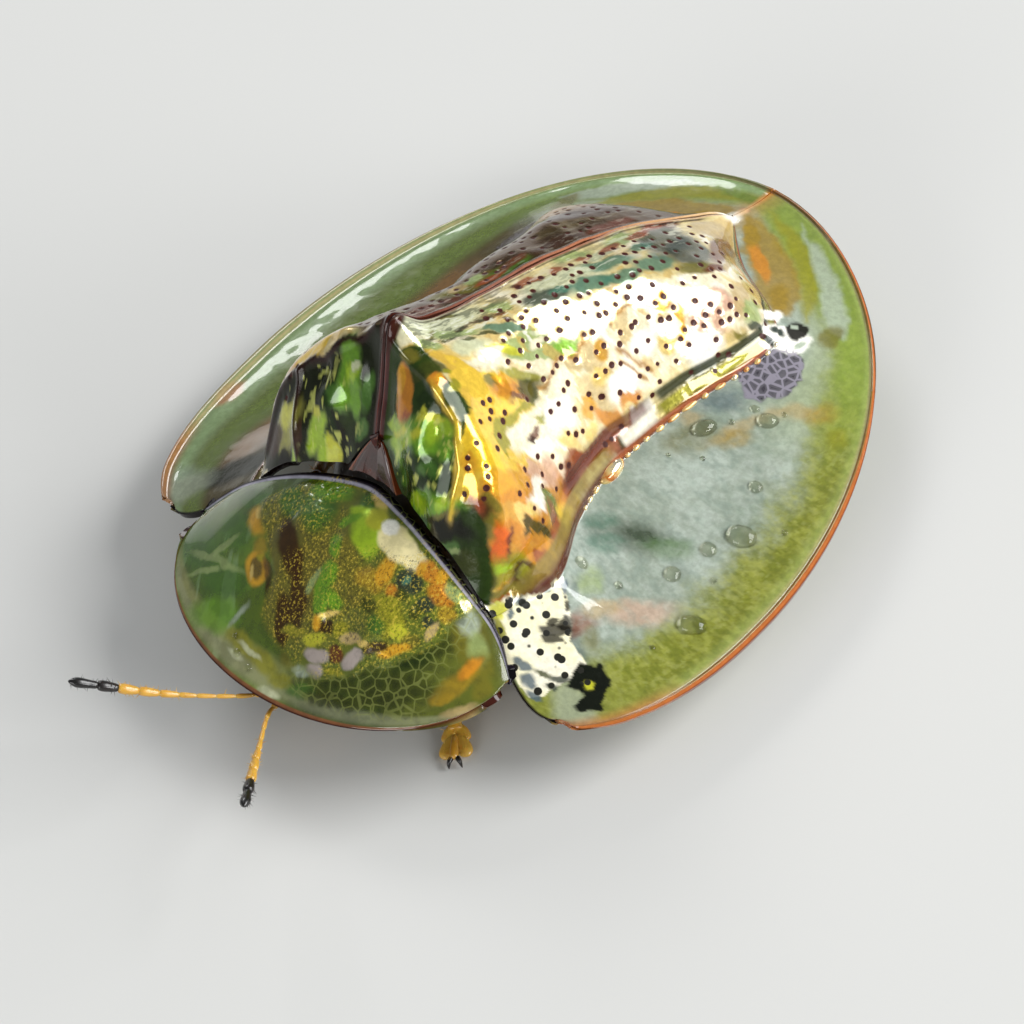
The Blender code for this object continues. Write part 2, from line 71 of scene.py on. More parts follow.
# Raised disc of the wing cases: (y, half width), (y, height of its foot) and the keel (y, height)
DISC_FRONT, DISC_REAR = -3.02, 6.10
DISC_OUTLINE = [
    (DISC_FRONT, 2.70), (-1.80, 3.05), (-0.50, 2.42), (0.60, 2.16), (2.20, 2.28),
    (4.20, 2.62), (4.75, 2.05), (5.30, 0.95), (DISC_REAR, 0.0),
]
DISC_FOOT = [(DISC_FRONT, 0.98), (-1.80, 0.85), (0.0, 0.78), (4.40, 0.60), (DISC_REAR, 0.52)]
KEEL = [
    (-2.42, 2.05), (-2.10, 2.85), (-1.80, 3.45), (-1.12, 4.40), (-0.60, 4.25), (0.30, 3.85),
    (2.10, 3.20), (3.80, 2.35), (5.40, 1.15), (DISC_REAR, 0.55),
]
FRONT_SLANT = 0.23
SCUTELLUM_HALF_BASE = 0.60
SCUTELLUM_LENGTH = 0.36
SCUTELLUM_WALL = 0.16
SEAM = 0.05

# Raised lines on the front slope of each disc
CREASE = [(0.16, -1.30), (0.85, -1.36), (1.54, -1.58), (1.86, -2.03), (1.84, -2.45)]
SHOULDER_LINE = [(0.30, -1.20), (0.95, -1.50), (1.60, -1.78), (2.20, -2.10), (2.50, -2.60)]
LOBE_LINE = [(1.78, -1.90), (1.66, -2.30), (1.50, -2.70)]

# Hollows and swellings of the disc: (x, y, radius, height)
DENTS = [
    (1.48, 0.02, 0.24, -0.10), (1.31, -0.42, 0.15, -0.05), (1.15, 0.85, 0.36, -0.07),
    (1.70, 2.60, 0.40, -0.06), (0.95, 3.10, 0.35, 0.05), (2.00, 1.30, 0.30, 0.05),
    (1.00, -2.09, 0.30, 0.12), (1.52, -2.43, 0.24, 0.10), (0.50, -1.72, 0.20, 0.07),
    (1.05, -1.38, 0.16, 0.06), (1.28, -1.86, 0.16, -0.10), (0.72, -2.45, 0.20, -0.08),
    (2.40, -1.30, 0.30, 0.06), (2.05, -0.60, 0.28, -0.05), (1.90, 3.95, 0.40, 0.05),
    (2.62, -2.10, 0.26, 0.05), (2.86, -2.36, 0.14, -0.06), (1.76, 0.95, 0.22, -0.05),
]

# How round a disc is across its width, and the hump and the shoulders that rise from it
DISC_POWER = 2.8
HUMP_AT, HUMP_RADIUS, HUMP_RISE = (0.0, -1.12), 0.42, 0.45
SHOULDER_AT, SHOULDER_RADIUS, SHOULDER_RISE = (2.3, -2.0), 0.52, 0.30

# Shield over the head: half width, and the y of its rear edge, its corners and its front
SHIELD_HALF_WIDTH = 3.46
SHIELD_REAR = -2.42
SHIELD_CORNER, SHIELD_CORNER_CURL = 2.7, 0.57
SHIELD_SIDE, SHIELD_REACH = -3.76, 2.15

# Height of the shield's rear edge at the corners and how much higher its middle is, then of its front
SHIELD_REAR_FOOT, SHIELD_REAR_RISE = 0.45, 1.67
SHIELD_FRONT_FOOT, SHIELD_FRONT_RISE = 0.28, 0.17

# Points of a wing case's grid (rows, columns of disc and of margin) and of the shield's (rows, columns)
WING_GRID = (331, 133, 105)
SHIELD_GRID = (211, 331)

# The underside of a shell takes every third point of its upper side
UNDER_STEP = 3

# Seeds of the random patterns of the two wing cases
LEFT_SEED, RIGHT_SEED = 7, 40

# Depth of a puncture for its radius, and how many radii its slopes reach
PIT_DEPTH = 0.40
PIT_REACH = 3.0

# How fully a mark covers what lies under it
MARK_SHARE = 0.90


def smooth(value):
    """0 to 1 with level ends."""
    t = np.clip(value, 0.0, 1.0)
    return t * t * (3 - 2 * t)


def between(value, low, high, soft):
    """1 from low to high, 0 outside."""
    return smooth((value - low) / soft + 0.5) * smooth((high - value) / soft + 0.5)


def through(points, at):
    """Values at places of a smooth curve through a few (place, value) points."""
    place, value = np.array(points, float).T
    wide = np.concatenate([place[:1], place, place[-1:]])
    tall = np.concatenate([value[:1], value, value[-1:]])
    slope = (tall[2:] - tall[:-2]) / (wide[2:] - wide[:-2])
    at = np.clip(at, place[0], place[-1])
    i = np.clip(np.searchsorted(place, at) - 1, 0, len(place) - 2)
    h = place[i + 1] - place[i]
    t = (at - place[i]) / h
    return (
        (2 * t**3 - 3 * t**2 + 1) * value[i] + (t**3 - 2 * t**2 + t) * h * slope[i]
        + (3 * t**2 - 2 * t**3) * value[i + 1] + (t**3 - t**2) * h * slope[i + 1]
    )


def hill(x, y, at, radius):
    """A round rise of height 1 at a place."""
    return np.exp(-((x - at[0]) ** 2 + (y - at[1]) ** 2) / radius**2)


def bulge(value, at, width):
    """A rounded rise of height 1 where a value is reached."""
    return np.exp(-(((value - at) / width) ** 2))


def ripple(x, y, size, seed):
    """A smooth random rise and fall between -1 and 1, of about this size."""
    table = np.random.default_rng(seed).uniform(-1, 1, (64, 64))
    u, v = x / size + 31.3, y / size + 17.7
    i, j = np.floor(u).astype(int), np.floor(v).astype(int)
    s, t = smooth(u - i), smooth(v - j)
    near, right, down, far = [table[(i + a) % 64, (j + b) % 64] for b in (0, 1) for a in (0, 1)]
    return (near * (1 - s) + right * s) * (1 - t) + (down * (1 - s) + far * s) * t


def fractal(x, y, size, seed, octaves=4):
    """Ripples of ever finer size on one another, about -1 to 1."""
    total, weight = 0.0, 0.6
    for octave in range(octaves):
        total = total + weight * ripple(x, y, size * 0.5**octave, seed + octave)
        weight *= 0.6
    return total


def path_distance(x, y, path):
    """How far places are from a line through a few points."""
    best = np.full(np.shape(x), 9.0)
    for (ax, ay), (bx, by) in zip(path, path[1:]):
        length = (bx - ax) ** 2 + (by - ay) ** 2
        t = np.clip(((x - ax) * (bx - ax) + (y - ay) * (by - ay)) / length, 0, 1)
        best = np.minimum(best, np.hypot(x - ax - t * (bx - ax), y - ay - t * (by - ay)))
    return best


def ridge(x, y, path, width):
    """A rounded rise of height 1 along a line."""
    return bulge(path_distance(x, y, path), 0, width)


def rim(angle):
    """The rim of a wing case at angles from the tail."""
    s, c = np.abs(np.sin(angle)), np.cos(angle)
    reach = np.where(c > 0, RIM_REAR, RIM_FRONT)
    power = np.where(c > 0, RIM_REAR_POWER, RIM_FRONT_POWER)
    radius = ((s / RIM_HALF_WIDTH) ** power + (np.abs(c) / reach) ** power) ** (-1 / power)
    radius -= 0.14 * smooth((angle - RIM_CORNER) / math.radians(12) + 1)
    y = radius * c
    return radius * np.sin(angle), y, -0.33 + np.where(y > 0, 0.52, 0.60) * (y / reach) ** 2


def disc_width(y):
    return np.maximum(through(DISC_OUTLINE, y), 0.0)


def disc_height(x, y):
    """Height of the raised disc over a place inside its outline."""
    forward = FRONT_SLANT * np.abs(x) * (1 - smooth((y + 1.5) / 2.5))
    foot = through(DISC_FOOT, y)
    across = np.minimum(np.abs(x) / np.maximum(disc_width(y), 1e-6), 1.0)
    z = foot + (through(KEEL, y + forward) - foot) * (1 - across**DISC_POWER)
    z = z + HUMP_RISE * hill(x, y, HUMP_AT, HUMP_RADIUS)
    return z + SHOULDER_RISE * hill(np.abs(x), y, SHOULDER_AT, SHOULDER_RADIUS)


def shield_rear(x):
    curl = SHIELD_CORNER_CURL * np.maximum(0.0, np.abs(x) - SHIELD_CORNER) ** 2
    return SHIELD_REAR - FRONT_SLANT * (np.hypot(x, 0.2) - 0.2) - curl


def shield_front(x):
    across = np.minimum(np.abs(x) / SHIELD_HALF_WIDTH, 1.0)
    return SHIELD_SIDE - SHIELD_REACH * np.sqrt(1 - across**2)


def shield_height(x, y):
    """Height of the shield over the head: a dome that levels out to its rim."""
    rear = SHIELD_REAR_FOOT + SHIELD_REAR_RISE * (1 - (np.abs(x) / 3.5) ** 2)
    front = SHIELD_FRONT_FOOT + SHIELD_FRONT_RISE * (np.abs(x) / SHIELD_HALF_WIDTH) ** 2
    t = np.clip((y - shield_rear(x)) / (shield_front(x) - shield_rear(x)), 0.0, 1.0)
    return front + (rear - front) * (1 - t * t) ** 1.3


def to_metres(points):
    """Beetle millimetres to metres in the solids' frame."""
    return (np.asarray(points, float) + (0.0, BACK, LIFT)) * MM


def unit(vectors):
    vectors = np.asarray(vectors, float)
    return vectors / np.maximum(np.linalg.norm(vectors, axis=-1, keepdims=True), 1e-9)


def grid_normals(grid):
    """Unit normals of a grid of points, pointing up."""
    normal = unit(np.cross(np.gradient(grid, axis=1), np.gradient(grid, axis=0)))
    return normal * np.where(normal[..., 2:3] < 0, -1.0, 1.0)


def new_object(name, mesh, material=None):
    obj = bpy.data.objects.new(name, mesh)
    bpy.context.scene.collection.objects.link(obj)
    if material is not None:
        mesh.materials.clear()
        mesh.materials.append(material)
    return obj


def new_mesh(name, points, faces, fields, sharp=70):
    """A mesh in metres with one attribute for each named field of numbers or colours."""
    mesh = bpy.data.meshes.new(name)
    mesh.from_pydata(to_metres(points).tolist(), [], faces)
    for field, values in fields.items():
        kind, slot = ("FLOAT", "value") if values.ndim == 1 else ("FLOAT_COLOR", "color")
        mesh.attributes.new(field, kind, "POINT").data.foreach_set(slot, values.ravel().astype(np.float32))
    bm = bmesh.new()
    bm.from_mesh(mesh)
    bmesh.ops.remove_doubles(bm, verts=bm.verts, dist=1e-8)
    bmesh.ops.recalc_face_normals(bm, faces=bm.faces)
    bm.to_mesh(mesh)
    bm.free()
    mesh.shade_smooth()
    mesh.set_sharp_from_angle(angle=math.radians(sharp))
    return mesh


def shell_mesh(name, top, thickness, fields):
    """A closed shell: a fine grid above, a coarser one below, and a wall round them."""
    step = UNDER_STEP
    rows, columns = top.shape[:2]
    under = (top - grid_normals(top) * thickness[..., None])[::step, ::step]
    below_rows, below_columns = under.shape[:2]

    def ring(r, c, start):
        line = [(0, j) for j in range(c)] + [(i, c - 1) for i in range(1, r)]
        line += [(r - 1, j) for j in range(c - 2, -1, -1)] + [(i, 0) for i in range(r - 2, 0, -1)]
        return [start + i * c + j for i, j in line]

    faces = []
    for r, c, start, turn in ((rows, columns, 0, 1), (below_rows, below_columns, rows * columns, -1)):
        i, j = np.meshgrid(np.arange(r - 1), np.arange(c - 1), indexing="ij")
        corner = (start + i * c + j).ravel()
        faces += np.stack([corner, corner + 1, corner + c + 1, corner + c], 1)[:, ::turn].tolist()
    above, below = ring(rows, columns, 0), ring(below_rows, below_columns, rows * columns)
    for k, lower in enumerate(below):
        upper = [above[(k * step + s) % len(above)] for s in range(step + 1)]
        faces.append([lower, below[(k + 1) % len(below)]] + upper[::-1])
    points = np.concatenate([top.reshape(-1, 3), under.reshape(-1, 3)])
    both = {}
    for field, values in fields.items():
        tail = values.shape[2:]
        both[field] = np.concatenate([values.reshape(-1, *tail), values[::step, ::step].reshape(-1, *tail)])
    return new_mesh(name, points, faces, both)


def tone(code):
    """A colour from its six web digits."""
    shares = [int(code[i:i + 2], 16) / 255 for i in (0, 2, 4)]
    return tuple(c / 12.92 if c <= 0.04045 else ((c + 0.055) / 1.055) ** 2.4 for c in shares) + (1.0,)


class Coat:
    """Colour, metal and solidity laid on the places of a shell, one layer over the next."""

    def __init__(self, x, y, colour, metal, solid, seed, ragged=0.09):
        self.x = x + ragged * fractal(x, y, 0.34, seed, 4)
        self.y = y + ragged * fractal(x, y, 0.34, seed + 20, 4)
        self.tint = np.broadcast_to(np.array(tone(colour)), x.shape + (4,)).copy()
        self.metal = np.full(x.shape, float(metal))
        self.solid = np.full(x.shape, float(solid))

    def lay(self, share, colour=None, metal=None, solid=None):
        if colour is not None:
            self.tint += share[..., None] * (np.array(tone(colour)) - self.tint)
        if metal is not None:
            self.metal += share * (metal - self.metal)
        if solid is not None:
            self.solid += share * (solid - self.solid)

    def oval(self, x, y, rx, ry, turn=0.0, soft=0.25):
        """1 inside an oval, 0 outside, its edge ragged."""
        c, s = math.cos(math.radians(turn)), math.sin(math.radians(turn))
        dx, dy = self.x - x, self.y - y
        reach = np.hypot((c * dx + s * dy) / rx, (c * dy - s * dx) / ry)
        return 1 - smooth((reach - 1) / (2 * soft) + 0.5)

    def region(self, corners, soft):
        """1 inside a many-sided outline, 0 outside."""
        inside = np.zeros(self.x.shape, bool)
        closed = corners + corners[:1]
        for (ax, ay), (bx, by) in zip(closed, closed[1:]):
            if ay != by:
                cross = ax + (self.y - ay) / (by - ay) * (bx - ax)
                inside ^= ((ay > self.y) != (by > self.y)) & (self.x < cross)
        away = path_distance(self.x, self.y, closed)
        return smooth(np.where(inside, away, -away) / soft + 0.5)

    def gloss(self):
        """Weaker lacquer over dark colours, so that they stay deep."""
        return 0.04 + 0.96 * smooth((self.tint[..., :3].max(-1) - 0.01) / 0.15)

    def paint(self, inside, name, solid=None):
        colour, metal = PAINTS[name]
        self.lay(inside, colour, metal if solid is None else 0.0, solid)

    def ovals(self, marks, where=1.0, solid=None, soft_edge=0.30):
        """Lays marks; their own softness may follow the paint. Solidity, when given, goes with all."""
        for x, y, half_width, half_length, turn, name, *own in marks:
            soft = own[0] if own else soft_edge
            self.paint(self.oval(x, y, half_width, half_length, turn, soft) * MARK_SHARE * where, name, solid)

    def areas(self, patches, where=1.0, solid=None):
        """Lays patches of corners, softness and paint."""
        for corners, soft, name in patches:
            self.paint(self.region(corners, soft) * MARK_SHARE * where, name, solid)


class Value:
    """A node socket. The usual signs between it and numbers or other values add Math nodes."""

    def __init__(self, nodes, socket):
        self.nodes = nodes
        self.socket = socket

    def maths(self, operation, *operands):
        return self.nodes.add("ShaderNodeMath", dict(enumerate(operands)), operation=operation)

    def __add__(self, other):
        return self.maths("ADD", self, other)

    def __sub__(self, other):
        return self.maths("SUBTRACT", self, other)

    def __rsub__(self, other):
        return self.maths("SUBTRACT", other, self)

    def __mul__(self, other):
        return self.maths("MULTIPLY", self, other)

    __radd__ = __add__
    __rmul__ = __mul__

    def step(self, low, high):
        """0 below low and 1 above high, or the other way round if low is the higher."""
        sockets = {0: self, 1: low, 2: high, 3: 0.0, 4: 1.0}
        return self.nodes.add("ShaderNodeMapRange", sockets, interpolation_type="SMOOTHSTEP")


class Nodes:
    """A node tree that grows by one method."""

    def __init__(self, tree):
        self.tree = tree

    def add(self, kind, sockets=None, out=0, stops=None, **settings):
        """Any node: its settings and a ramp's stops first, then the values or links of its sockets."""
        node = self.tree.nodes.new(kind)
        for key, value in settings.items():
            setattr(node, key, value)
        if stops:
            elements = node.color_ramp.elements
            while len(elements) < len(stops):
                elements.new(1.0)
            for element, (place, colour) in zip(elements, stops):
                element.position = place
                element.color = tone(colour) if isinstance(colour, str) else (colour,) * 3 + (1.0,)
        for key, value in (sockets or {}).items():
            if isinstance(value, Value):
                self.tree.links.new(value.socket, node.inputs[key])
            elif isinstance(value, str) and node.inputs[key].type == "RGBA":
                node.inputs[key].default_value = tone(value)
            else:
                node.inputs[key].default_value = value
        return Value(self, node.outputs[out])


class Paint(Nodes):
    """A material whose patterns are laid out in beetle millimetres."""

    def __init__(self, name, **constants):
        self.material = bpy.data.materials.new(name)
        self.material.use_nodes = True
        super().__init__(self.material.node_tree)
        self.shader = self.tree.nodes["Principled BSDF"]
        for socket, value in constants.items():
            value = tone(value) if isinstance(value, str) else value
            self.shader.inputs[socket.replace("_", " ")].default_value = value
        seen = self.add("ShaderNodeTexCoord", out="Object")
        self.place = self.add("ShaderNodeMapping", {0: seen, 1: (0, -BACK, -LIFT), 3: (1 / MM,) * 3})

    def set(self, **links):
        for socket, value in links.items():
            self.tree.links.new(value.socket, self.shader.inputs[socket.replace("_", " ")])

    def attribute(self, name, out="Fac"):
        return self.add("ShaderNodeAttribute", out=out, attribute_name=name)

    def stretched(self, stretch, turn=0.0):
        return self.add("ShaderNodeMapping", {0: self.place, 2: (0, 0, math.radians(turn)), 3: stretch})

    def noise(self, scale, detail=2.0, rough=0.5, where=None):
        sockets = {"Vector": where or self.place, "Scale": scale, "Detail": detail, "Roughness": rough}
        return self.add("ShaderNodeTexNoise", sockets)

    def cells(self, scale, feature="F1", random=1.0):
        sockets = {"Vector": self.place, "Scale": scale, "Randomness": random}
        return self.add("ShaderNodeTexVoronoi", sockets, feature=feature)

    def mix(self, share, first, second, how="MIX"):
        sockets = {0: share, 6: first, 7: second}
        return self.add("ShaderNodeMix", sockets, out=2, data_type="RGBA", blend_type=how)

    def ramp(self, value, stops):
        return self.add("ShaderNodeValToRGB", {0: value}, stops=stops)

    def relief(self, height, strength, depth_mm=0.03):
        sockets = {"Strength": strength, "Distance": depth_mm * MM, "Height": height}
        self.set(Normal=self.add("ShaderNodeBump", sockets))


class Growth(Nodes):
    """A geometry tree with named inputs whose result becomes a plain mesh."""

    def __init__(self, name, **inputs):
        super().__init__(bpy.data.node_groups.new(name, "GeometryNodeTree"))
        face = self.tree.interface
        self.keys = {"Geometry": face.new_socket("Geometry", socket_type="NodeSocketGeometry").identifier}
        for key, value in inputs.items():
            kind = "NodeSocketInt" if isinstance(value, int) else "NodeSocketFloat"
            self.keys[key] = face.new_socket(key, socket_type=kind).identifier
        face.new_socket("Geometry", in_out="OUTPUT", socket_type="NodeSocketGeometry")
        self.values = inputs
        self.entry = self.tree.nodes.new("NodeGroupInput")

    def input(self, key):
        return Value(self, self.entry.outputs[key])

    def field(self, name, kind):
        """A named attribute of the mesh or its points."""
        return self.add("GeometryNodeInputNamedAttribute", {"Name": name}, data_type=kind)

    def bake(self, result, name, mesh, material):
        """Runs the tree on a mesh and gives a plain object of what grew."""
        real = self.add("GeometryNodeRealizeInstances", {0: result})
        last = self.add("GeometryNodeSetMaterial", {0: real})
        last.socket.node.inputs["Material"].default_value = material
        end = self.tree.nodes.new("NodeGroupOutput")
        self.tree.links.new(last.socket, end.inputs[0])
        holder = new_object(name, mesh)
        modifier = holder.modifiers.new("grow", "NODES")
        modifier.node_group = self.tree
        for key, value in self.values.items():
            modifier[self.keys[key]] = value
        graph = bpy.context.evaluated_depsgraph_get()
        grown = bpy.data.meshes.new_from_object(holder.evaluated_get(graph))
        holder.modifiers.remove(modifier)
        bpy.data.objects.remove(holder)
        grown.name = name
        return new_object(name, grown)


def finish(obj, nodes):
    """Hands a finished piece to the frame in place of its solids."""
    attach(obj, ROOT)
    if nodes:
        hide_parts(*nodes)
    return obj


# Paints of the shell: colour, and how metallic it is
# On the gold, the white, ivory, cream, straw and mist paints lay painted highlights and reflections
PAINTS = {
    "white": ("fffdf2", 0.28), "ivory": ("f8efcc", 0.33), "cream": ("fff0b4", 0.30),
    "straw": ("efcf74", 0.40), "lemon": ("f2c726", 0.40), "gold": ("e2a41c", 0.42),
    "amber": ("cf8318", 0.38), "flame": ("e8620c", 0.30), "rust": ("8c3a0c", 0.18),
    "brown": ("5e2408", 0.12), "umber": ("351806", 0.08), "black": ("100c06", 0.03),
    "yolk": ("c9c82e", 0.36), "lime": ("a3c41c", 0.30), "leaf": ("6a9c10", 0.27),
    "moss": ("3f6a0e", 0.20), "bottle": ("1b2d0a", 0.12), "olive": ("918e14", 0.32),
    "bronze": ("6b6414", 0.25), "sage": ("98aa66", 0.28), "mist": ("d2d6ae", 0.32),
    "jade": ("40705a", 0.15), "slate": ("26332c", 0.10), "rose": ("d2a78c", 0.27),
    "steel": ("4a5c66", 0.10), "pearl": ("b0a29c", 0.15), "tan": ("b49c68", 0.10),
    "milk": ("aab6a2", 0.0), "honey": ("9a7c12", 0.10), "peat": ("363d0e", 0.05),
}

# Outlines of the big patches of a disc, and the patches: outline, softness and paint
LEMON_FRONT = [
    (0.25, -1.25), (0.60, -0.95), (0.80, -0.65), (1.15, -0.60), (1.25, -0.25), (1.45, 0.30), (1.60, 0.05),
    (1.75, -0.70), (2.00, -1.05), (2.10, -0.40), (2.25, -0.25), (2.65, -0.95), (3.05, -1.75), (2.95, -2.30),
    (2.70, -2.75), (2.45, -2.75), (2.10, -2.50), (1.70, -2.35), (1.70, -1.75), (1.50, -1.35), (0.90, -1.00),
]
# The ivory middle patch is a painted reflection: strong light mirrored in the gold, laid as colour
IVORY_REFLECTION_MIDDLE = [
    (0.75, -0.60), (1.05, 0.45), (1.15, 1.20), (1.15, 2.60), (1.45, 4.05), (1.80, 4.35), (2.15, 4.15),
    (2.30, 3.70), (2.15, 2.90), (2.05, 2.00), (1.85, 1.05), (1.95, 0.30), (2.05, -1.00), (1.75, -0.65),
    (1.60, 0.30), (1.45, 0.35), (1.20, -0.25), (1.15, -0.60),
]
AMBER_CORNER = [
    (2.25, -1.55), (2.10, -0.35), (2.25, -0.35), (2.55, -1.15), (2.90, -1.55), (3.00, -2.10), (2.70, -2.65),
    (2.45, -2.50), (2.25, -2.15),
]
OLIVE_VALLEY = [
    (1.58, 0.20), (1.70, -0.58), (2.00, -1.04), (2.08, -1.24), (1.85, -1.22), (1.65, -0.82),
    (1.58, -0.23),
]
SAGE_BAND = [
    (0.92, -0.15), (0.90, 0.60), (0.95, 1.00), (1.35, 1.40), (1.42, 0.80), (1.25, 0.45), (1.10, -0.10),
]
RUST_BAND = [
    (2.15, -0.40), (1.98, 0.10), (1.95, 0.75), (2.05, 1.60), (2.12, 1.75), (2.08, 0.60), (2.30, -0.55),
]
DISC_AREAS = [
    (LEMON_FRONT, 0.06, "lemon"), (IVORY_REFLECTION_MIDDLE, 0.10, "ivory"), (AMBER_CORNER, 0.09, "amber"),
    (OLIVE_VALLEY, 0.05, "olive"), (SAGE_BAND, 0.04, "sage"), (RUST_BAND, 0.05, "rust"),
]

# Marks of a disc. Every mark is an oval: x, y, half width, half length, turn in degrees and paint. Some
# rows add how soft their edge is.
# Many marks are painted reflections: the pale ones of strong light, the green ones of green surroundings
DISC_MARKS = [
    (1.05, -0.25, 0.27, 0.10, 79, "ivory"), (0.75, -0.60, 0.30, 0.12, 66, "straw"),
    (1.35, 0.10, 0.32, 0.07, 71, "olive"), (1.42, -0.33, 0.32, 0.10, 90, "amber"),
    (1.50, 0.06, 0.26, 0.11, 89, "bottle"), (1.53, -0.24, 0.22, 0.04, 89, "brown"),
    (1.30, -0.50, 0.13, 0.08, -79, "bronze"), (1.32, -0.27, 0.16, 0.05, 84, "gold"),
    (1.30, 1.12, 0.18, 0.10, 88, "leaf"), (1.13, 0.70, 0.20, 0.07, 86, "ivory"),
    (1.05, 0.95, 0.24, 0.05, 72, "mist"), (1.02, 0.10, 0.23, 0.07, 66, "yolk"),
    (1.76, -0.10, 0.23, 0.05, -87, "olive"), (1.86, -0.40, 0.17, 0.05, -79, "brown"),
    (1.90, -0.50, 0.07, 0.03, -80, "umber"), (1.98, -0.42, 0.32, 0.05, -84, "white"),
    (1.75, 0.25, 0.30, 0.08, -82, "white"), (1.78, -0.40, 0.20, 0.05, -87, "ivory"),
    (2.05, -1.68, 0.28, 0.19, -82, "lemon"), (2.00, -1.90, 0.16, 0.13, -10, "gold"),
    (2.32, -1.68, 0.32, 0.11, 90, "gold"), (1.80, -1.67, 0.26, 0.08, -60, "lemon"),
    (2.16, -0.70, 0.36, 0.08, -78, "rose"), (2.25, -1.23, 0.30, 0.06, -70, "gold"),
    (1.63, -1.80, 0.55, 0.07, -61, "lemon"), (2.40, -1.10, 0.38, 0.07, -68, "white"),
    (2.46, -0.93, 0.22, 0.06, -62, "moss"), (2.60, -1.60, 0.30, 0.05, -74, "straw"),
    (2.37, -2.08, 0.16, 0.08, 50, "bronze"), (2.30, -2.26, 0.23, 0.13, 48, "umber"),
    (2.47, -2.22, 0.14, 0.08, 58, "bronze"), (2.14, -2.23, 0.24, 0.08, 26, "rust"),
    (2.60, -2.05, 0.28, 0.06, 72, "amber"), (2.58, -2.27, 0.21, 0.07, 78, "flame"),
    (2.64, -2.13, 0.14, 0.03, -84, "brown"), (2.55, -2.43, 0.14, 0.05, 70, "flame"),
    (2.70, -1.55, 0.38, 0.05, -81, "bottle"), (2.60, -1.12, 0.28, 0.05, -57, "rust"),
    (2.78, -1.85, 0.26, 0.03, 85, "amber"), (2.76, -1.28, 0.40, 0.06, -58, "rust"),
    (2.93, -1.72, 0.19, 0.06, -75, "rust"), (2.70, -2.34, 0.40, 0.10, 57, "olive"),
    (2.64, -2.38, 0.16, 0.03, 52, "lime"), (2.48, -2.66, 0.19, 0.10, 61, "peat"),
    (2.88, -2.18, 0.28, 0.07, 73, "umber"), (2.88, -2.18, 0.12, 0.03, 70, "olive"),
    (3.00, -1.95, 0.14, 0.05, 74, "rust"), (2.90, -2.38, 0.46, 0.04, 57, "rust"),
    (2.50, -2.88, 0.18, 0.07, 18, "black"), (2.70, -2.60, 0.38, 0.04, 55, "bronze"),
    (1.80, 0.83, 0.17, 0.06, -89, "gold"), (1.93, 1.06, 0.22, 0.07, 78, "amber"),
    (1.93, 0.15, 0.18, 0.05, -83, "straw"), (1.90, 0.64, 0.18, 0.05, 90, "straw"),
    (1.52, 1.56, 0.18, 0.07, 89, "gold"), (1.68, 1.30, 0.15, 0.07, 86, "straw"),
    (1.84, 1.55, 0.35, 0.11, 90, "white"), (1.78, 2.35, 0.26, 0.10, 82, "white"),
    (1.30, 2.85, 0.34, 0.12, 79, "white"), (1.58, 3.84, 0.33, 0.11, 84, "ivory"),
    (1.54, 3.00, 0.23, 0.10, -65, "gold"), (1.84, 3.05, 0.29, 0.11, -46, "gold"),
    (2.05, 2.94, 0.12, 0.07, 90, "gold"), (1.94, 2.61, 0.14, 0.07, 85, "straw"),
    (2.00, 3.67, 0.46, 0.25, 83, "rose"), (1.85, 3.82, 0.24, 0.12, -85, "rose"),
    (2.20, 3.87, 0.24, 0.11, 86, "ivory"), (2.17, 3.12, 0.35, 0.13, 81, "white"),
    (2.00, 4.20, 0.35, 0.13, -45, "tan"), (2.18, 4.23, 0.26, 0.11, -52, "sage"),
    (2.38, 4.10, 0.10, 0.05, 90, "slate"), (2.37, 3.77, 0.14, 0.06, 79, "bronze"),
    (2.06, 0.22, 0.23, 0.06, -85, "rust"), (2.17, -0.17, 0.18, 0.07, -76, "brown"),
    (2.02, 0.53, 0.22, 0.04, 90, "rust"), (1.96, 1.52, 0.22, 0.04, 84, "amber"),
    (2.10, 1.57, 0.28, 0.07, -85, "white"), (2.10, 1.10, 0.18, 0.05, 84, "bottle"),
]
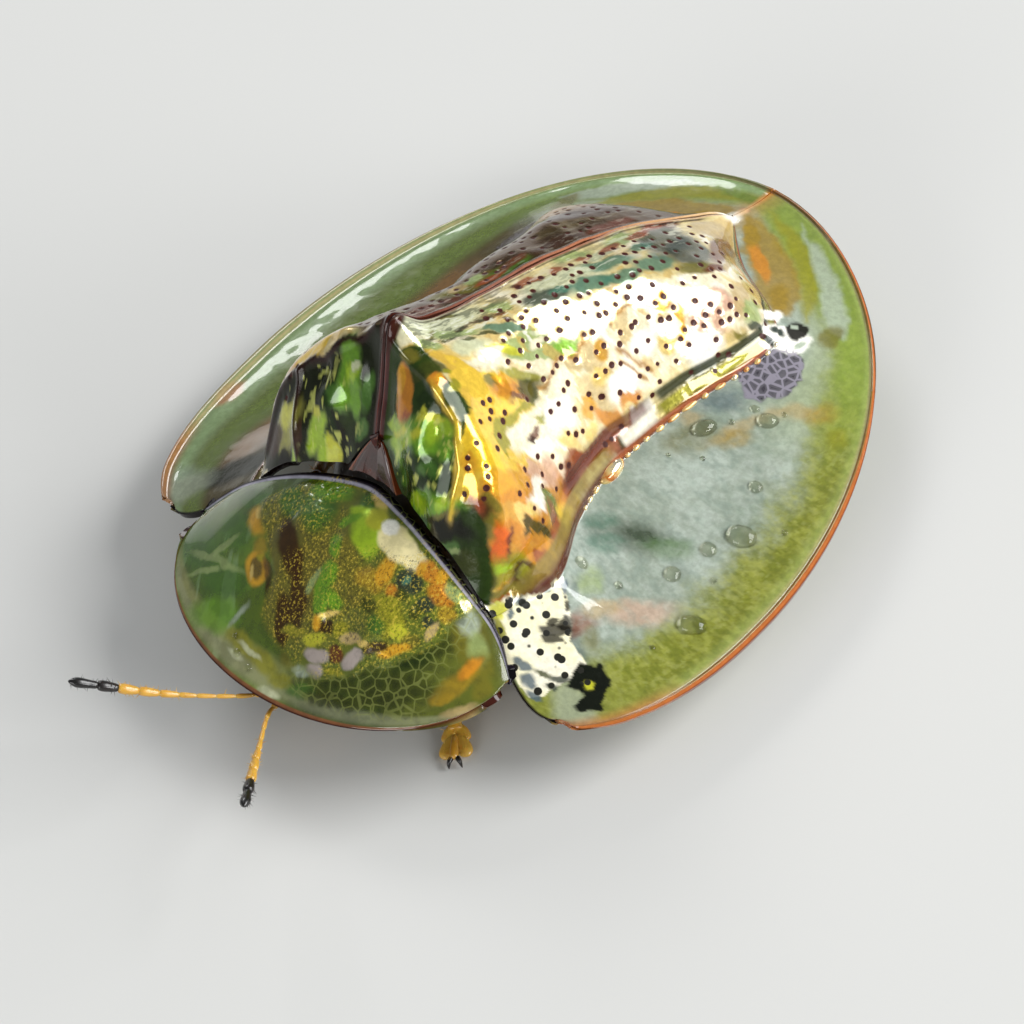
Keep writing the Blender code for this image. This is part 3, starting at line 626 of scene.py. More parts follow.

# Marks beside the suture of the left disc: pale streaks that are painted sheen, jade lakes, rusty and dark
# flecks
BY_SUTURE = [
    (0.22, -0.40, 0.80, 0.25, 89, "mist"), (0.62, 1.83, 0.90, 0.28, 88, "mist"),
    (0.78, -0.33, 0.30, 0.12, 74, "mist"), (0.76, 0.45, 0.42, 0.08, 71, "jade"),
    (0.50, -0.35, 0.40, 0.09, 73, "sage"), (0.55, -0.92, 0.20, 0.11, 68, "sage"),
    (0.40, 0.61, 0.27, 0.12, 73, "sage"), (0.50, 1.07, 0.16, 0.12, 90, "ivory"),
    (0.68, 1.43, 0.40, 0.14, 76, "slate"), (0.70, 1.74, 0.25, 0.08, 80, "jade"),
    (0.85, 2.29, 0.44, 0.12, 86, "jade"), (0.97, 2.83, 0.40, 0.12, 80, "jade"),
    (0.63, 2.87, 0.48, 0.14, 81, "jade"), (0.58, 2.31, 0.30, 0.09, 87, "mist"),
    (0.17, 2.52, 0.40, 0.12, 90, "sage"), (1.00, 3.54, 0.43, 0.20, 75, "jade"),
    (0.51, 4.17, 0.60, 0.42, -52, "slate"), (0.97, 4.31, 0.46, 0.34, -44, "slate"),
    (1.38, 4.10, 0.35, 0.14, 77, "bronze"), (0.90, 5.00, 0.75, 0.15, -50, "brown"),
    (1.47, 4.34, 0.26, 0.09, -84, "brown"), (0.20, 3.57, 0.40, 0.17, 90, "sage"),
    (0.58, 3.64, 0.27, 0.12, 87, "jade"), (0.36, 2.98, 0.30, 0.11, -78, "mist"),
    (0.36, 5.30, 0.42, 0.24, -79, "tan"), (1.27, 4.80, 0.45, 0.06, -48, "tan"),
    (0.28, 1.43, 0.23, 0.09, 90, "rust"), (0.27, 1.27, 0.10, 0.07, 45, "brown"),
    (0.35, 1.66, 0.12, 0.06, 90, "rust"), (0.35, 2.01, 0.15, 0.07, 85, "rust"),
    (0.35, 2.65, 0.15, 0.06, -85, "rust"), (0.31, 3.18, 0.22, 0.09, -84, "rust"),
    (0.21, 3.94, 0.35, 0.10, -81, "rust"), (0.10, 4.68, 0.23, 0.09, 88, "brown"),
    (0.08, 4.33, 0.17, 0.07, -89, "rust"), (0.45, -0.16, 0.18, 0.04, 87, "umber"),
    (0.48, 0.22, 0.22, 0.05, 78, "umber"), (0.52, 0.53, 0.11, 0.05, 80, "brown"),
    (0.67, 0.59, 0.14, 0.04, 61, "umber"), (0.68, -0.23, 0.14, 0.03, 78, "peat"),
    (0.55, -0.57, 0.17, 0.03, 81, "peat"), (0.40, -0.75, 0.18, 0.03, -77, "bronze"),
    (0.71, 0.06, 0.19, 0.03, 70, "bottle"), (0.13, -0.13, 0.22, 0.04, 89, "bronze"),
]

# Marks on the front slope of the left disc, from the hump down to the shield
# The greens of these marks are painted reflections of green surroundings in the gold
FRONT_MARKS = [
    (0.48, -1.24, 0.20, 0.08, 24, "bronze"), (0.90, -1.18, 0.20, 0.15, 50, "peat"),
    (0.50, -1.64, 0.30, 0.19, -60, "amber", 0.15), (0.36, -1.53, 0.13, 0.09, -69, "gold"),
    (0.63, -1.81, 0.09, 0.09, 72, "rust"), (1.03, -1.33, 0.13, 0.11, 14, "amber", 0.15),
    (1.04, -1.27, 0.07, 0.05, -87, "gold"), (1.03, -1.08, 0.10, 0.05, -83, "olive"),
    (1.27, -1.20, 0.15, 0.08, -76, "olive"), (1.12, -1.53, 0.35, 0.11, 25, "bottle"),
    (0.68, -1.40, 0.14, 0.08, 11, "peat"), (0.95, -1.97, 0.72, 0.19, 9, "leaf"),
    (1.34, -1.79, 0.24, 0.15, 24, "lime"), (0.60, -2.04, 0.33, 0.11, 9, "lime"),
    (0.51, -1.96, 0.20, 0.05, 5, "yolk"), (0.93, -1.93, 0.11, 0.05, 11, "yolk"),
    (0.35, -1.91, 0.18, 0.06, 7, "lime"), (1.12, -1.73, 0.25, 0.05, 17, "yolk"),
    (0.84, -2.12, 0.19, 0.05, 5, "moss"), (1.50, -1.93, 0.20, 0.09, 24, "leaf"),
    (1.20, -2.26, 0.60, 0.17, 10, "bottle"), (1.33, -2.19, 0.20, 0.08, 15, "moss"),
    (0.75, -2.32, 0.15, 0.09, 0, "moss"), (1.40, -2.43, 0.72, 0.08, 16, "leaf"),
    (1.10, -2.49, 0.24, 0.05, 6, "lime"), (1.70, -2.33, 0.16, 0.05, 14, "lime"),
    (1.65, -2.55, 0.68, 0.10, 9, "black"), (1.30, -2.58, 0.17, 0.04, 3, "moss"),
    (1.77, -2.41, 0.24, 0.03, 18, "bronze"), (1.80, -2.71, 0.22, 0.06, 9, "moss"),
    (1.97, -2.71, 0.14, 0.03, 6, "sage"), (2.12, -2.77, 0.28, 0.12, 27, "peat"),
]

# Marks of the right disc beside its suture, and on the two lobes of its front slope
# The brown, umber and rust marks here are painted shade, the tan and sage ones painted sheen
FAR_SHADE_AND_SHEEN = [
    (0.40, 0.85, 0.55, 0.22, 90, "bronze"), (0.50, 0.66, 0.20, 0.14, 88, "tan"),
    (0.50, 1.00, 0.19, 0.12, 74, "sage"), (0.27, 1.63, 0.44, 0.16, 90, "moss"),
    (0.56, 0.33, 0.24, 0.15, 76, "bronze"), (0.33, 1.73, 0.36, 0.12, 84, "brown"),
    (0.25, 1.16, 0.30, 0.08, 90, "rust"), (0.21, 0.34, 0.25, 0.09, -81, "brown"),
    (0.31, -0.32, 0.35, 0.16, -77, "brown"), (0.15, -0.61, 0.24, 0.04, -57, "amber"),
    (0.29, 2.74, 0.58, 0.14, -86, "umber"), (0.27, 3.81, 0.52, 0.12, 87, "brown"),
    (0.92, 3.76, 0.80, 0.22, -67, "umber"),
]
# The greens of the lobes are painted reflections of green surroundings in the gold
FAR_LOBES = [
    (0.67, -1.78, 0.46, 0.22, 73, "leaf"), (0.62, -1.69, 0.17, 0.08, -20, "lime"),
    (0.56, -1.63, 0.10, 0.05, -5, "mist"), (0.61, -1.99, 0.20, 0.07, -18, "leaf"),
    (0.30, -1.82, 0.16, 0.10, 90, "moss"), (0.93, -1.97, 0.16, 0.10, -24, "moss"),
    (0.65, -2.19, 0.32, 0.13, -13, "black"), (0.95, -2.22, 0.33, 0.13, 61, "bottle"),
    (0.32, -2.12, 0.13, 0.09, -28, "moss"), (1.14, -2.37, 0.23, 0.13, -43, "lime"),
    (0.98, -2.51, 0.18, 0.07, -22, "lime"), (0.85, -2.49, 0.11, 0.10, 5, "yolk"),
    (1.21, -2.24, 0.10, 0.06, -6, "yolk"), (1.83, -2.43, 0.35, 0.20, -30, "olive"),
    (1.97, -2.35, 0.20, 0.12, -15, "yolk"), (1.97, -2.55, 0.17, 0.10, 17, "olive"),
    (1.58, -2.68, 0.12, 0.11, 74, "lime"), (1.55, -2.49, 0.16, 0.07, -70, "umber"),
    (2.21, -2.57, 0.25, 0.14, -15, "umber"), (1.88, -2.75, 0.17, 0.11, -51, "black"),
]

# Marks of the left margin: dark blotch, brown wedge by the patch, tan clouds behind
MARGIN_MARKS = [
    (3.20, -0.10, 0.58, 0.30, 35, "bottle"), (3.70, 0.10, 0.40, 0.20, 31, "moss"),
    (3.20, 0.00, 0.28, 0.14, 41, "bottle"), (2.63, -0.28, 0.28, 0.17, 58, "jade"),
    (3.00, -0.56, 0.26, 0.18, 58, "jade"), (3.32, -1.33, 0.30, 0.16, -64, "sage"),
    (3.33, -1.60, 0.14, 0.07, -56, "steel"), (4.16, -1.17, 0.55, 0.23, 50, "rose"),
    (3.77, -1.47, 0.26, 0.12, 57, "tan"), (3.72, -2.04, 0.26, 0.18, 64, "rust"),
    (3.72, -2.24, 0.18, 0.10, -60, "brown"), (3.70, -1.73, 0.15, 0.11, 60, "tan"),
    (4.00, -2.49, 0.27, 0.11, -41, "steel"), (4.00, -2.14, 0.19, 0.13, -63, "bronze"),
    (2.70, 1.90, 0.50, 0.24, 66, "bronze"), (2.62, 2.76, 0.36, 0.20, 59, "steel"),
    (3.15, 2.65, 0.62, 0.12, 69, "tan"), (3.64, 3.50, 0.46, 0.15, 42, "tan"),
    (3.90, 3.74, 0.25, 0.20, 75, "honey"), (3.20, 2.38, 0.28, 0.15, 56, "honey"),
    (2.47, 2.20, 0.17, 0.14, 57, "tan"), (4.38, 3.50, 0.21, 0.18, -65, "olive"),
]

# The tail of both margins: outlines of a brown, an olive and a pale patch, then their marks, the white and
# black spot, and the outline of a netted patch
# The brown patch, with the amber and honey marks beside it, is a painted reflection inside the clear margin
TAIL_BROWN_REFLECTION = [
    (0.00, 6.30), (0.40, 6.35), (1.35, 6.00), (2.15, 5.40), (2.35, 4.85), (2.05, 4.70), (1.50, 4.95),
    (0.65, 5.60),
]
TAIL_OLIVE = [
    (0.35, 6.60), (1.10, 6.55), (1.75, 6.20), (2.35, 5.55), (2.55, 5.00), (2.00, 5.50), (1.35, 6.00),
]
TAIL_PALE = [
    (0.95, 6.70), (1.90, 6.35), (2.80, 5.70), (3.25, 5.15), (2.90, 5.10), (2.20, 5.75), (1.55, 6.30),
]
REAR_AREAS = [(TAIL_BROWN_REFLECTION, 0.14, "honey"), (TAIL_OLIVE, 0.16, "olive"), (TAIL_PALE, 0.14, "milk")]
REAR_MARKS = [
    (1.05, 5.55, 0.50, 0.13, -32, "amber"), (0.48, 5.95, 0.28, 0.13, -38, "honey"),
    (1.90, 5.10, 0.35, 0.18, -52, "honey"), (3.00, 5.05, 0.28, 0.18, -81, "bronze"),
]
REAR_SPOT = [
    (2.67, 4.46, 0.37, 0.27, 40, "white", 0.14), (2.20, 4.65, 0.23, 0.11, 88, "white", 0.2),
    (2.62, 4.71, 0.23, 0.16, -73, "black", 0.14), (2.48, 4.42, 0.09, 0.08, 40, "slate"),
    (2.87, 4.53, 0.14, 0.06, 74, "milk"), (2.54, 4.13, 0.08, 0.06, 79, "slate"),
    (2.59, 3.99, 0.10, 0.04, 80, "white"), (2.53, 4.77, 0.06, 0.04, -84, "milk"),
]
WEB_AREA = [
    (2.50, 3.30), (2.50, 3.75), (2.65, 4.20), (2.90, 4.40), (3.10, 4.35), (3.25, 3.95), (3.30, 3.60),
    (3.10, 3.25), (2.85, 3.10),
]

# The pale spotted patch at the left shoulder with its marks, and the black blotch beside it
PATCH = [
    (2.62, -2.87), (2.70, -2.72), (2.90, -2.46), (3.11, -2.00), (3.05, -1.63), (3.25, -1.77), (3.58, -2.13),
    (3.82, -2.38), (4.00, -2.50), (4.32, -2.54), (4.56, -2.61), (4.50, -2.82), (4.21, -2.77), (4.07, -3.00),
    (4.04, -3.26), (4.00, -3.42), (3.85, -3.55), (3.55, -3.45), (3.20, -3.25), (2.90, -3.05),
]
BLOTCH = [
    (4.13, -2.60), (4.32, -2.37), (4.65, -2.45), (4.77, -2.78), (4.87, -3.00), (4.62, -3.23), (4.47, -3.15),
    (4.52, -2.93), (4.35, -2.90), (4.16, -2.97),
]
PATCH_MARKS = [
    (3.53, -2.38, 0.24, 0.12, 58, "black", 0.2), (3.40, -2.30, 0.10, 0.07, 71, "black", 0.2),
    (3.60, -2.56, 0.16, 0.07, 46, "black", 0.2), (3.55, -2.20, 0.11, 0.08, -49, "black"),
    (3.52, -3.20, 0.15, 0.08, 4, "steel"), (3.74, -3.35, 0.13, 0.10, -6, "steel"),
    (3.80, -3.10, 0.13, 0.05, 31, "peat"), (4.02, -2.96, 0.17, 0.06, 46, "slate"),
    (3.93, -3.48, 0.14, 0.06, 10, "steel"), (4.03, -3.15, 0.09, 0.06, 54, "slate"),
    (2.76, -2.80, 0.13, 0.09, -85, "yolk"), (2.90, -3.02, 0.17, 0.06, -50, "olive"),
    (2.95, -2.47, 0.10, 0.08, -38, "steel"), (2.93, -2.74, 0.07, 0.05, -52, "steel"),
    (3.20, -1.73, 0.13, 0.05, -62, "steel"), (4.43, -2.73, 0.10, 0.07, -39, "yolk"),
    (3.37, -1.95, 0.10, 0.05, -51, "black"),
]

# The punctures that show most, by rows from the front to the rear, and the fine cracks between them
PUNCTURES = [
    (1.92, -1.86), (1.97, -1.96), (2.01, -2.21), (2.17, -1.73), (2.25, -1.82), (2.29, -1.95), (2.30, -2.07),
    (1.92, -1.60), (2.02, -1.32), (2.45, -1.50), (2.54, -1.38), (2.62, -1.34), (2.33, -1.22), (1.72, -1.25),
    (1.69, -1.04), (1.87, -1.09), (2.17, -1.03), (1.51, -0.95), (1.61, -0.92), (1.49, -0.80), (1.72, -0.83),
    (2.27, -0.86), (1.64, -0.70), (2.16, -0.70), (2.25, -0.59), (2.02, -0.57), (2.02, -0.32), (2.09, -0.28),
    (2.08, -0.13), (1.57, -0.10), (1.17, 0.01), (1.71, 0.14), (1.88, 0.18), (1.90, 0.31), (1.46, 0.37),
    (1.90, 0.46), (1.76, 0.55), (1.61, 0.57), (1.59, 0.73), (1.17, 0.72), (1.83, 0.87), (1.16, 0.92),
    (1.75, 0.97), (1.48, 1.10), (1.81, 1.12), (1.16, 1.20), (1.69, 1.41), (1.34, 1.49), (1.53, 1.47),
    (1.69, 1.57), (1.37, 1.64), (1.53, 1.65), (1.73, 1.72), (1.90, 1.89), (1.61, 1.91), (1.27, 1.94),
    (1.29, 2.07), (1.75, 2.10), (1.91, 2.09), (2.04, 2.15), (1.27, 2.32), (1.56, 2.30), (1.55, 2.41),
    (1.76, 2.40), (1.27, 2.59), (1.91, 2.61), (2.05, 2.60), (1.37, 2.76), (1.70, 2.81), (1.52, 2.91),
    (1.74, 2.94), (1.96, 2.88), (2.05, 2.94), (1.93, 3.04), (1.31, 3.10), (1.51, 3.11), (1.68, 3.12),
    (1.94, 3.24), (2.03, 3.35), (1.90, 3.68), (2.02, 3.72), (2.12, 3.64), (2.03, 3.96), (2.15, 3.96),
]
CRACKS = [
    [(1.56, 0.29), (1.47, 0.46), (1.43, 0.73), (1.40, 1.04), (1.38, 1.47), (1.37, 1.62)],
    [(1.44, 1.99), (1.40, 2.40), (1.43, 2.69), (1.37, 2.80)],
    [(1.63, 1.82), (1.87, 2.09), (1.93, 2.18)], [(1.73, 1.76), (1.84, 1.87), (1.94, 1.99)],
]

# Outlines of the front slopes of the left and the right disc
SLOPE = [
    (0.0, -1.14), (0.26, -1.25), (0.57, -1.02), (0.83, -1.1), (1.16, -1.25), (1.54, -1.2), (1.66, -1.45),
    (1.72, -1.75), (1.75, -2.05), (1.80, -2.35), (2.12, -2.2), (2.42, -2.25), (2.56, -2.6), (2.8, -2.9),
    (1.3, -3.2), (-0.4, -3.0),
]
FAR_SLOPE = [
    (-0.4, -1.1), (0.3, -1.2), (0.95, -1.42), (1.60, -1.74), (2.25, -2.08), (2.60, -2.7), (1.5, -3.3),
    (-0.4, -3.0),
]


def wing_grid(rows, disc_columns, margin_columns, keel=0.012):
    """The left wing case as a grid of points, with how far each is across and along it."""
    along = np.linspace(0, 1, rows)[:, None]
    y_foot = DISC_FRONT + SEAM + (DISC_REAR - DISC_FRONT - SEAM) * along
    half = np.maximum(disc_width(y_foot), keel)
    share = np.linspace(0, 1, disc_columns)[None, :]
    x = keel + (half - keel) * share
    y_keel = y_foot + (0.6 - 0.3 * along) * (1 - along)
    y = y_keel + (y_foot - y_keel) * share
    front = shield_rear(x) + SEAM + SCUTELLUM_LENGTH * np.maximum(0, 1 - x / SCUTELLUM_HALF_BASE)
    y = y + (front - y) * (1 - smooth(along / 0.10))
    disc = np.stack([x, y, disc_height(x, y)], -1)
    foot = disc[:, -1:, :]
    rim_x, rim_y, rim_z = rim(RIM_CORNER * (1 - along) ** 0.82)
    out = np.linspace(0, 1, margin_columns + 1)[None, 1:]
    mx = foot[..., 0] + (np.maximum(rim_x, keel) - foot[..., 0]) * out
    my = foot[..., 1] + (rim_y - foot[..., 1]) * out
    my -= 0.17 * np.sin(math.pi * out) * (1 - smooth(along / 0.08))
    my += 0.26 * out**7 * (1 - smooth(along / 0.05))
    mz = rim_z + (foot[..., 2] - rim_z) * (1 - out) ** 1.25 + 0.06 * out**4
    grid = np.concatenate([disc, np.stack([mx, my, mz], -1)], 1)
    across = np.concatenate([np.broadcast_to(share, x.shape), np.broadcast_to(1 + out, mx.shape)], 1)
    return grid, across, np.broadcast_to(along, across.shape)


def puncture_places(seed, count, far):
    """Punctures of a disc as (x, y, radius): those seen in front, and irregular rows of others behind."""
    draw = np.random.default_rng(seed)
    places = [(x, y, float(draw.uniform(0.042, 0.056))) for x, y in PUNCTURES]
    shares = np.linspace(0.16, 0.93, 10)
    for _ in range(count):
        y = draw.uniform(-1.2 if far else 0.2, 5.0)
        x = (draw.choice(shares) + draw.normal(0, 0.014)) * disc_width(y)
        if all(math.hypot(x - a, y - b) > 0.15 for a, b, _ in places):
            places.append((float(x), float(y), float(draw.uniform(0.036, 0.052))))
    return places


def wing_relief(x, y, across, seed, far):
    """How far the surface stands out of its smooth shape: hammered gold, dents, furrows and ridges."""
    disc = 1 - smooth((across - 0.97) / 0.03)
    relief = disc * (0.024 * ripple(x, y, 0.85, seed) + 0.016 * ripple(x, y, 0.40, seed + 1))
    relief += disc * (0.003 * ripple(x, y, 0.17, seed + 2) - 0.016 * np.abs(ripple(x, y, 0.62, seed + 5)))
    for dent_x, dent_y, radius, height in DENTS:
        relief += disc * height * hill(x, y, (dent_x, dent_y), radius)
    relief += disc * 0.05 * ridge(x, y, SHOULDER_LINE if far else CREASE, 0.07)
    if far:
        relief += disc * 0.05 * ridge(x, y, LOBE_LINE, 0.06)
    relief += 0.045 * bulge(x, 0.05, 0.055) * smooth((6.4 - y) / 0.6)
    side = smooth((4.9 - y) / 0.3)
    relief -= 0.045 * bulge(across, 0.935, 0.018) * side
    relief += 0.035 * bulge(across, 0.985, 0.012) * side
    relief += 0.03 * bulge(across, 1.978, 0.012) - 0.02 * bulge(across, 1.94, 0.025)
    margin = smooth((across - 1.02) / 0.1) * smooth((1.95 - across) / 0.1)
    return relief + margin * (0.010 * ripple(x, y, 0.6, seed + 3) + 0.003 * ripple(x, y, 0.2, seed + 4))


def coat_disc(coat, across, far, seed):
    """Gold of a disc with painted highlights and reflections. The right one has painted shade beside the
    suture.
    """
    x, y = coat.x, coat.y
    cloud = fractal(x, y, 0.7, seed + 6)
    # Near-white clouds, less metallic, are painted highlights of the gold
    coat.lay(smooth(cloud / 0.4) * 0.7, "fff6dc", 0.35)
    coat.areas(DISC_AREAS)
    patches = fractal(x, y, 0.40, seed + 7)
    coat.lay(smooth((-0.22 - patches) / 0.10) * between(across, 0.2, 0.9, 0.1) * 0.5, "dcb04a", 0.45)
    # The pale patches too are painted highlights
    pale = smooth((patches - 0.25) / 0.08) * between(across, 0.3, 0.9, 0.1) * smooth((y + 0.5) / 0.5)
    coat.lay(pale * 0.7, "fffdf0", 0.3)
    coat.ovals(DISC_MARKS)
    for path in CRACKS:
        coat.lay(ridge(x, y, path, 0.028) * 0.85, "a8742a", 0.3)
    if far:
        # Painted shade: the right disc is painted dark brown and olive beside the suture
        coat.lay(between(x, -0.5, 1.60, 0.50) * smooth((y + 1.4) / 0.3), "5a3a0e", 0.9)
        coat.lay(between(x, 1.30, 3.20, 0.50) * smooth((y + 1.4) / 0.3) * 0.85, "a87a26", 0.8)
        coat.lay(between(x, 0.55, 0.85, 0.2) * smooth((cloud + 0.2) / 0.3) * 0.6, "7a6424", 0.9)
    coat.ovals(FAR_SHADE_AND_SHEEN if far else BY_SUTURE)
    furrow = between(across, 0.912, 0.950, 0.014)
    coat.lay(furrow * smooth((y - 1.8) / 0.3) * 0.95, "1f2b16", 0.2)
    coat.lay(furrow * smooth((1.9 - y) / 0.3) * smooth((y + 0.6) / 0.4) * 0.8, "5a1c08", 0.2)
    strip = between(across, 0.950, 0.982, 0.010)
    coat.lay(strip * smooth((y - 1.75) / 0.2), "8f8a28", 0.4)
    coat.lay(strip * smooth((0.9 - y) / 0.3) * 0.8, "8a7a2c", 0.3)
    coat.lay(strip * between(y, 1.05, 1.75, 0.10), "fff8e0", 0.3)
    coat.lay(smooth((across - 0.972) / 0.012) * 0.95, "4e1808", 0.2)
    coat.lay(between(across, 0.984, 0.994, 0.006) * smooth((y - 0.4) / 0.3) * 0.8, "b4581c", 0.3)
    # The dark green ground of the front slopes is part of the painted reflection of green surroundings
    slope = coat.region(FAR_SLOPE if far else SLOPE, 0.06)
    coat.lay(slope, "181d07" if far else "26380a", 0.1)
    coat.ovals(FAR_LOBES if far else FRONT_MARKS)
    sparkle = smooth((fractal(x, y, 0.09, seed + 10, 2) - 0.34) / 0.08) * slope
    coat.lay(sparkle * coat.oval(1.2, -2.1, 0.8, 0.4, 10, 0.3) * 0.7, "d3d866", 0.4)
    if far:
        coat.lay(ridge(x, y, SHOULDER_LINE, 0.060) * 0.97, "2a0d08", 0.1)
        coat.lay(ridge(x, y, LOBE_LINE, 0.055) * 0.97, "2a0d08", 0.1)
    else:
        # The vivid yellow line along the crease is a painted highlight on its ridge
        coat.lay(ridge(x, y, CREASE, 0.045) * smooth((x - 0.8) / 0.4) * 0.9, "e6c030", 0.4)


def coat_margin(coat, across, along, far, seed):
    """Clear margins: a painted milky reflection inside, olive outside, with their marks. Solidity says how
    clear.
    """
    x, y, share = coat.x, coat.y, across - 1.0
    margin = smooth(share / 0.012)
    cloud = fractal(x, y, 1.1, seed + 11)
    # The milky grey-green of the margin is a painted soft reflection
    coat.lay(margin, "9fab9c", 0.0, 0.80)
    coat.lay(margin * smooth((cloud + 0.05) / 0.4) * 0.7, "b4c0b4")
    coat.lay(margin * smooth((-0.15 - cloud) / 0.3) * 0.5, "8a9a88")
    streaks = fractal(share * 9, along * 46, 0.5, seed + 21, 3)
    coat.lay(margin * smooth((streaks - 0.05) / 0.3) * 0.35, "7d8f84")
    coat.lay(margin * smooth((-0.1 - streaks) / 0.3) * 0.3, "c0cac0")
    middle = smooth((y + 3.2) / 3.0) * smooth((6.2 - y) / 3.6)
    edge = share + 0.07 * fractal(x, y, 0.5, seed + 13) + 0.03 * fractal(x, y, 0.10, seed + 14)
    edge -= 0.20 * middle
    upper = smooth((y - 2.2) / 1.6)
    coat.lay(margin * upper * smooth((share - 0.10) / 0.4) * 0.8, "9aa67c", solid=0.82)
    outer = margin * smooth((edge - 0.36) / 0.26)
    coat.lay(outer, "858a2c", 0.0, 0.84)
    fibres = fractal(share * 7, along * 60, 0.4, seed + 15, 4)
    grains = fractal(x, y, 0.10, seed + 12, 3)
    coat.lay(outer * smooth((fibres - 0.02) / 0.25) * 0.45, "a3a84c")
    coat.lay(outer * smooth((-0.05 - fibres) / 0.25) * 0.45, "626e14")
    coat.lay(outer * smooth((grains - 0.15) / 0.2) * 0.30, "b0b468")
    coat.lay(outer * smooth((-0.15 - grains) / 0.2) * 0.30, "5a6412")
    rear = smooth((y - 2.6) / 2.2)
    coat.lay(outer * rear * 0.7, "86a03c")
    coat.lay(margin * smooth((share - 0.86) / 0.08) * 0.5, "98a85c", solid=0.82)
    front = smooth((-1.9 - y) / 0.8)
    coat.lay(margin * front * smooth((share - 0.25) / 0.2) * 0.4, "8a8f3c")
    tail = smooth((y - 5.2) / 0.6)
    coat.lay(margin * tail * smooth((0.5 - x) / 0.4) * 0.7, "a88a4c", solid=0.88)
    if far:
        coat.lay(margin * smooth((4.9 - y) / 1.0), "4f4206", solid=0.96)
        # The amber band is a painted reflection inside the clear margin
        amber = margin * between(share, 0.22, 0.50, 0.2) * between(y, -2.6, 3.0, 1.0)
        coat.lay(amber * 0.85, "8a5c0c", solid=0.95)
        coat.lay(margin * between(share, 0.52, 0.76, 0.16) * 0.9, "667c1c", solid=0.9)
        coat.lay(margin * smooth((share - 0.70) / 0.14) * 0.95, "8aa66c", solid=0.85)
        coat.lay(margin * coat.oval(3.4, -2.55, 1.0, 0.32, -30, 0.4) * 0.95, "161c08", solid=0.97)
        coat.lay(coat.oval(5.55, -1.05, 0.18, 0.34, 0, 0.4) * margin * 0.8, "c98a5e")
        coat.lay(coat.oval(4.75, -3.2, 0.55, 0.4, -40, 0.4) * margin * 0.6, "9fb098")
    else:
        wisps = 0.75 + 0.25 * smooth((fractal(x, y, 0.12, seed + 17, 3) + 0.3) / 0.4)
        coat.ovals(MARGIN_MARKS, margin * wisps * 0.66, 0.88, 0.55)
    coat.areas(REAR_AREAS, margin * 0.92, solid=0.88)
    coat.ovals(REAR_MARKS, margin * 0.85, solid=0.90)
    web = coat.region(WEB_AREA, 0.05) * smooth((across - 0.985) / 0.02)
    coat.lay(web * 0.92, "3a2c18" if far else "4e4854", 0.0, 0.92)
    front = coat.oval(4.6, -3.3, 0.75, 0.30, -35, 0.4) * margin
    coat.lay(front * 0.8, "a3ac90", solid=0.85)
    patch = np.zeros(x.shape)
    if not far:
        patch = coat.region(PATCH, 0.02)
        coat.lay(patch, "f3ecc6", 0.0, 0.98)
        warm = smooth((fractal(x, y, 0.3, seed + 18) + 0.1) / 0.3)
        coat.lay(patch * warm * 0.7, "fffae6", 0.2)
        coat.lay(coat.region(BLOTCH, 0.035) * margin, "0f130a", 0.0, 0.98)
        coat.ovals(PATCH_MARKS, np.maximum(patch, margin), solid=0.98)
    coat.ovals(REAR_SPOT, np.maximum(margin, smooth((y - 3.9) / 0.1)) * 1.08, solid=0.98)
    edge_tone = ("b9a878", "a8a070", "8f8a4c") if far else ("7a2a0a", "b9682e", "5e1d0a")
    coat.lay(between(share, 0.935, 0.956, 0.012) * 0.6, "c0b47c", solid=0.92)
    coat.lay(between(share, 0.956, 0.968, 0.006) * 0.9, edge_tone[0], solid=1.0)
    coat.lay(smooth((share - 0.968) / 0.008), edge_tone[1], solid=1.0)
    coat.lay(smooth((share - 0.990) / 0.006) * 0.8, edge_tone[2], solid=1.0)
    corner = smooth((-1.6 - y) / 0.8) * smooth((share - 0.86) / 0.1)
    coat.lay(corner * 0.7, "b06428", solid=1.0)
    return web, patch


# Where the ridge between the wing cases starts, and its shades, each with the y that it is reached at
SUTURE_FRONT = -3.0
SUTURE_SHADES = [
    (-1.3, "2c0a05"), (-0.9, "5a2a1c"), (1.0, "8c5a48"), (3.0, "a3684a"), (4.6, "c09468"), (6.0, "d8b88a"),
    (7.1, "c07c2c"),
]


def coat_suture(coat, grid, across, along):
    """The brown ridge where the wing cases meet with a painted highlight, and painted shade by the shield."""
    x, y = np.abs(grid[..., 0]), grid[..., 1]
    line = smooth((0.075 - x) / 0.02) * smooth((7.3 - y) / 0.2)
    start = SUTURE_FRONT
    for stop, colour in SUTURE_SHADES:
        coat.lay(line * smooth((y - start) / (stop - start)), colour, 0.0, 1.0)
        start = stop
    coat.lay(line * (1 - smooth((y + 1.3) / 0.2)), "2c0a05", 0.0, 1.0)
    wide = smooth((0.13 - x) / 0.03) * smooth((-1.0 - y) / 0.3)
    coat.lay(wide, "3a0f08", 0.0, 1.0)
    coat.lay(between(x, 0.045, 0.075, 0.02) * smooth((-1.2 - y) / 0.2) * 0.7, "6a2416", 0.0, 1.0)
    groove = between(x, 0.078, 0.11, 0.015) * smooth((y + 1.0) / 0.3) * smooth((5.6 - y) / 0.3)
    coat.lay(groove * 0.9, "2a1008", 0.0)
    knob = smooth((0.24 - np.hypot(x, (y + 1.15) / 1.3)) / 0.06)
    coat.lay(knob, "3a1408", 0.1, 1.0)
    # Painted shade: the front edge by the shield is painted near-black
    coat.lay(smooth((0.010 - along) / 0.006) * smooth((2.0 - across) / 0.02), "0e0604", 0.0, 1.0)
    # Painted highlight: a near-white glint on the ridge near the tail
    painted_keel_glint = bulge(y, 6.02, 0.16) * smooth((0.20 - x) / 0.10)
    coat.lay(painted_keel_glint, "fffdf4", 0.0, 1.0)


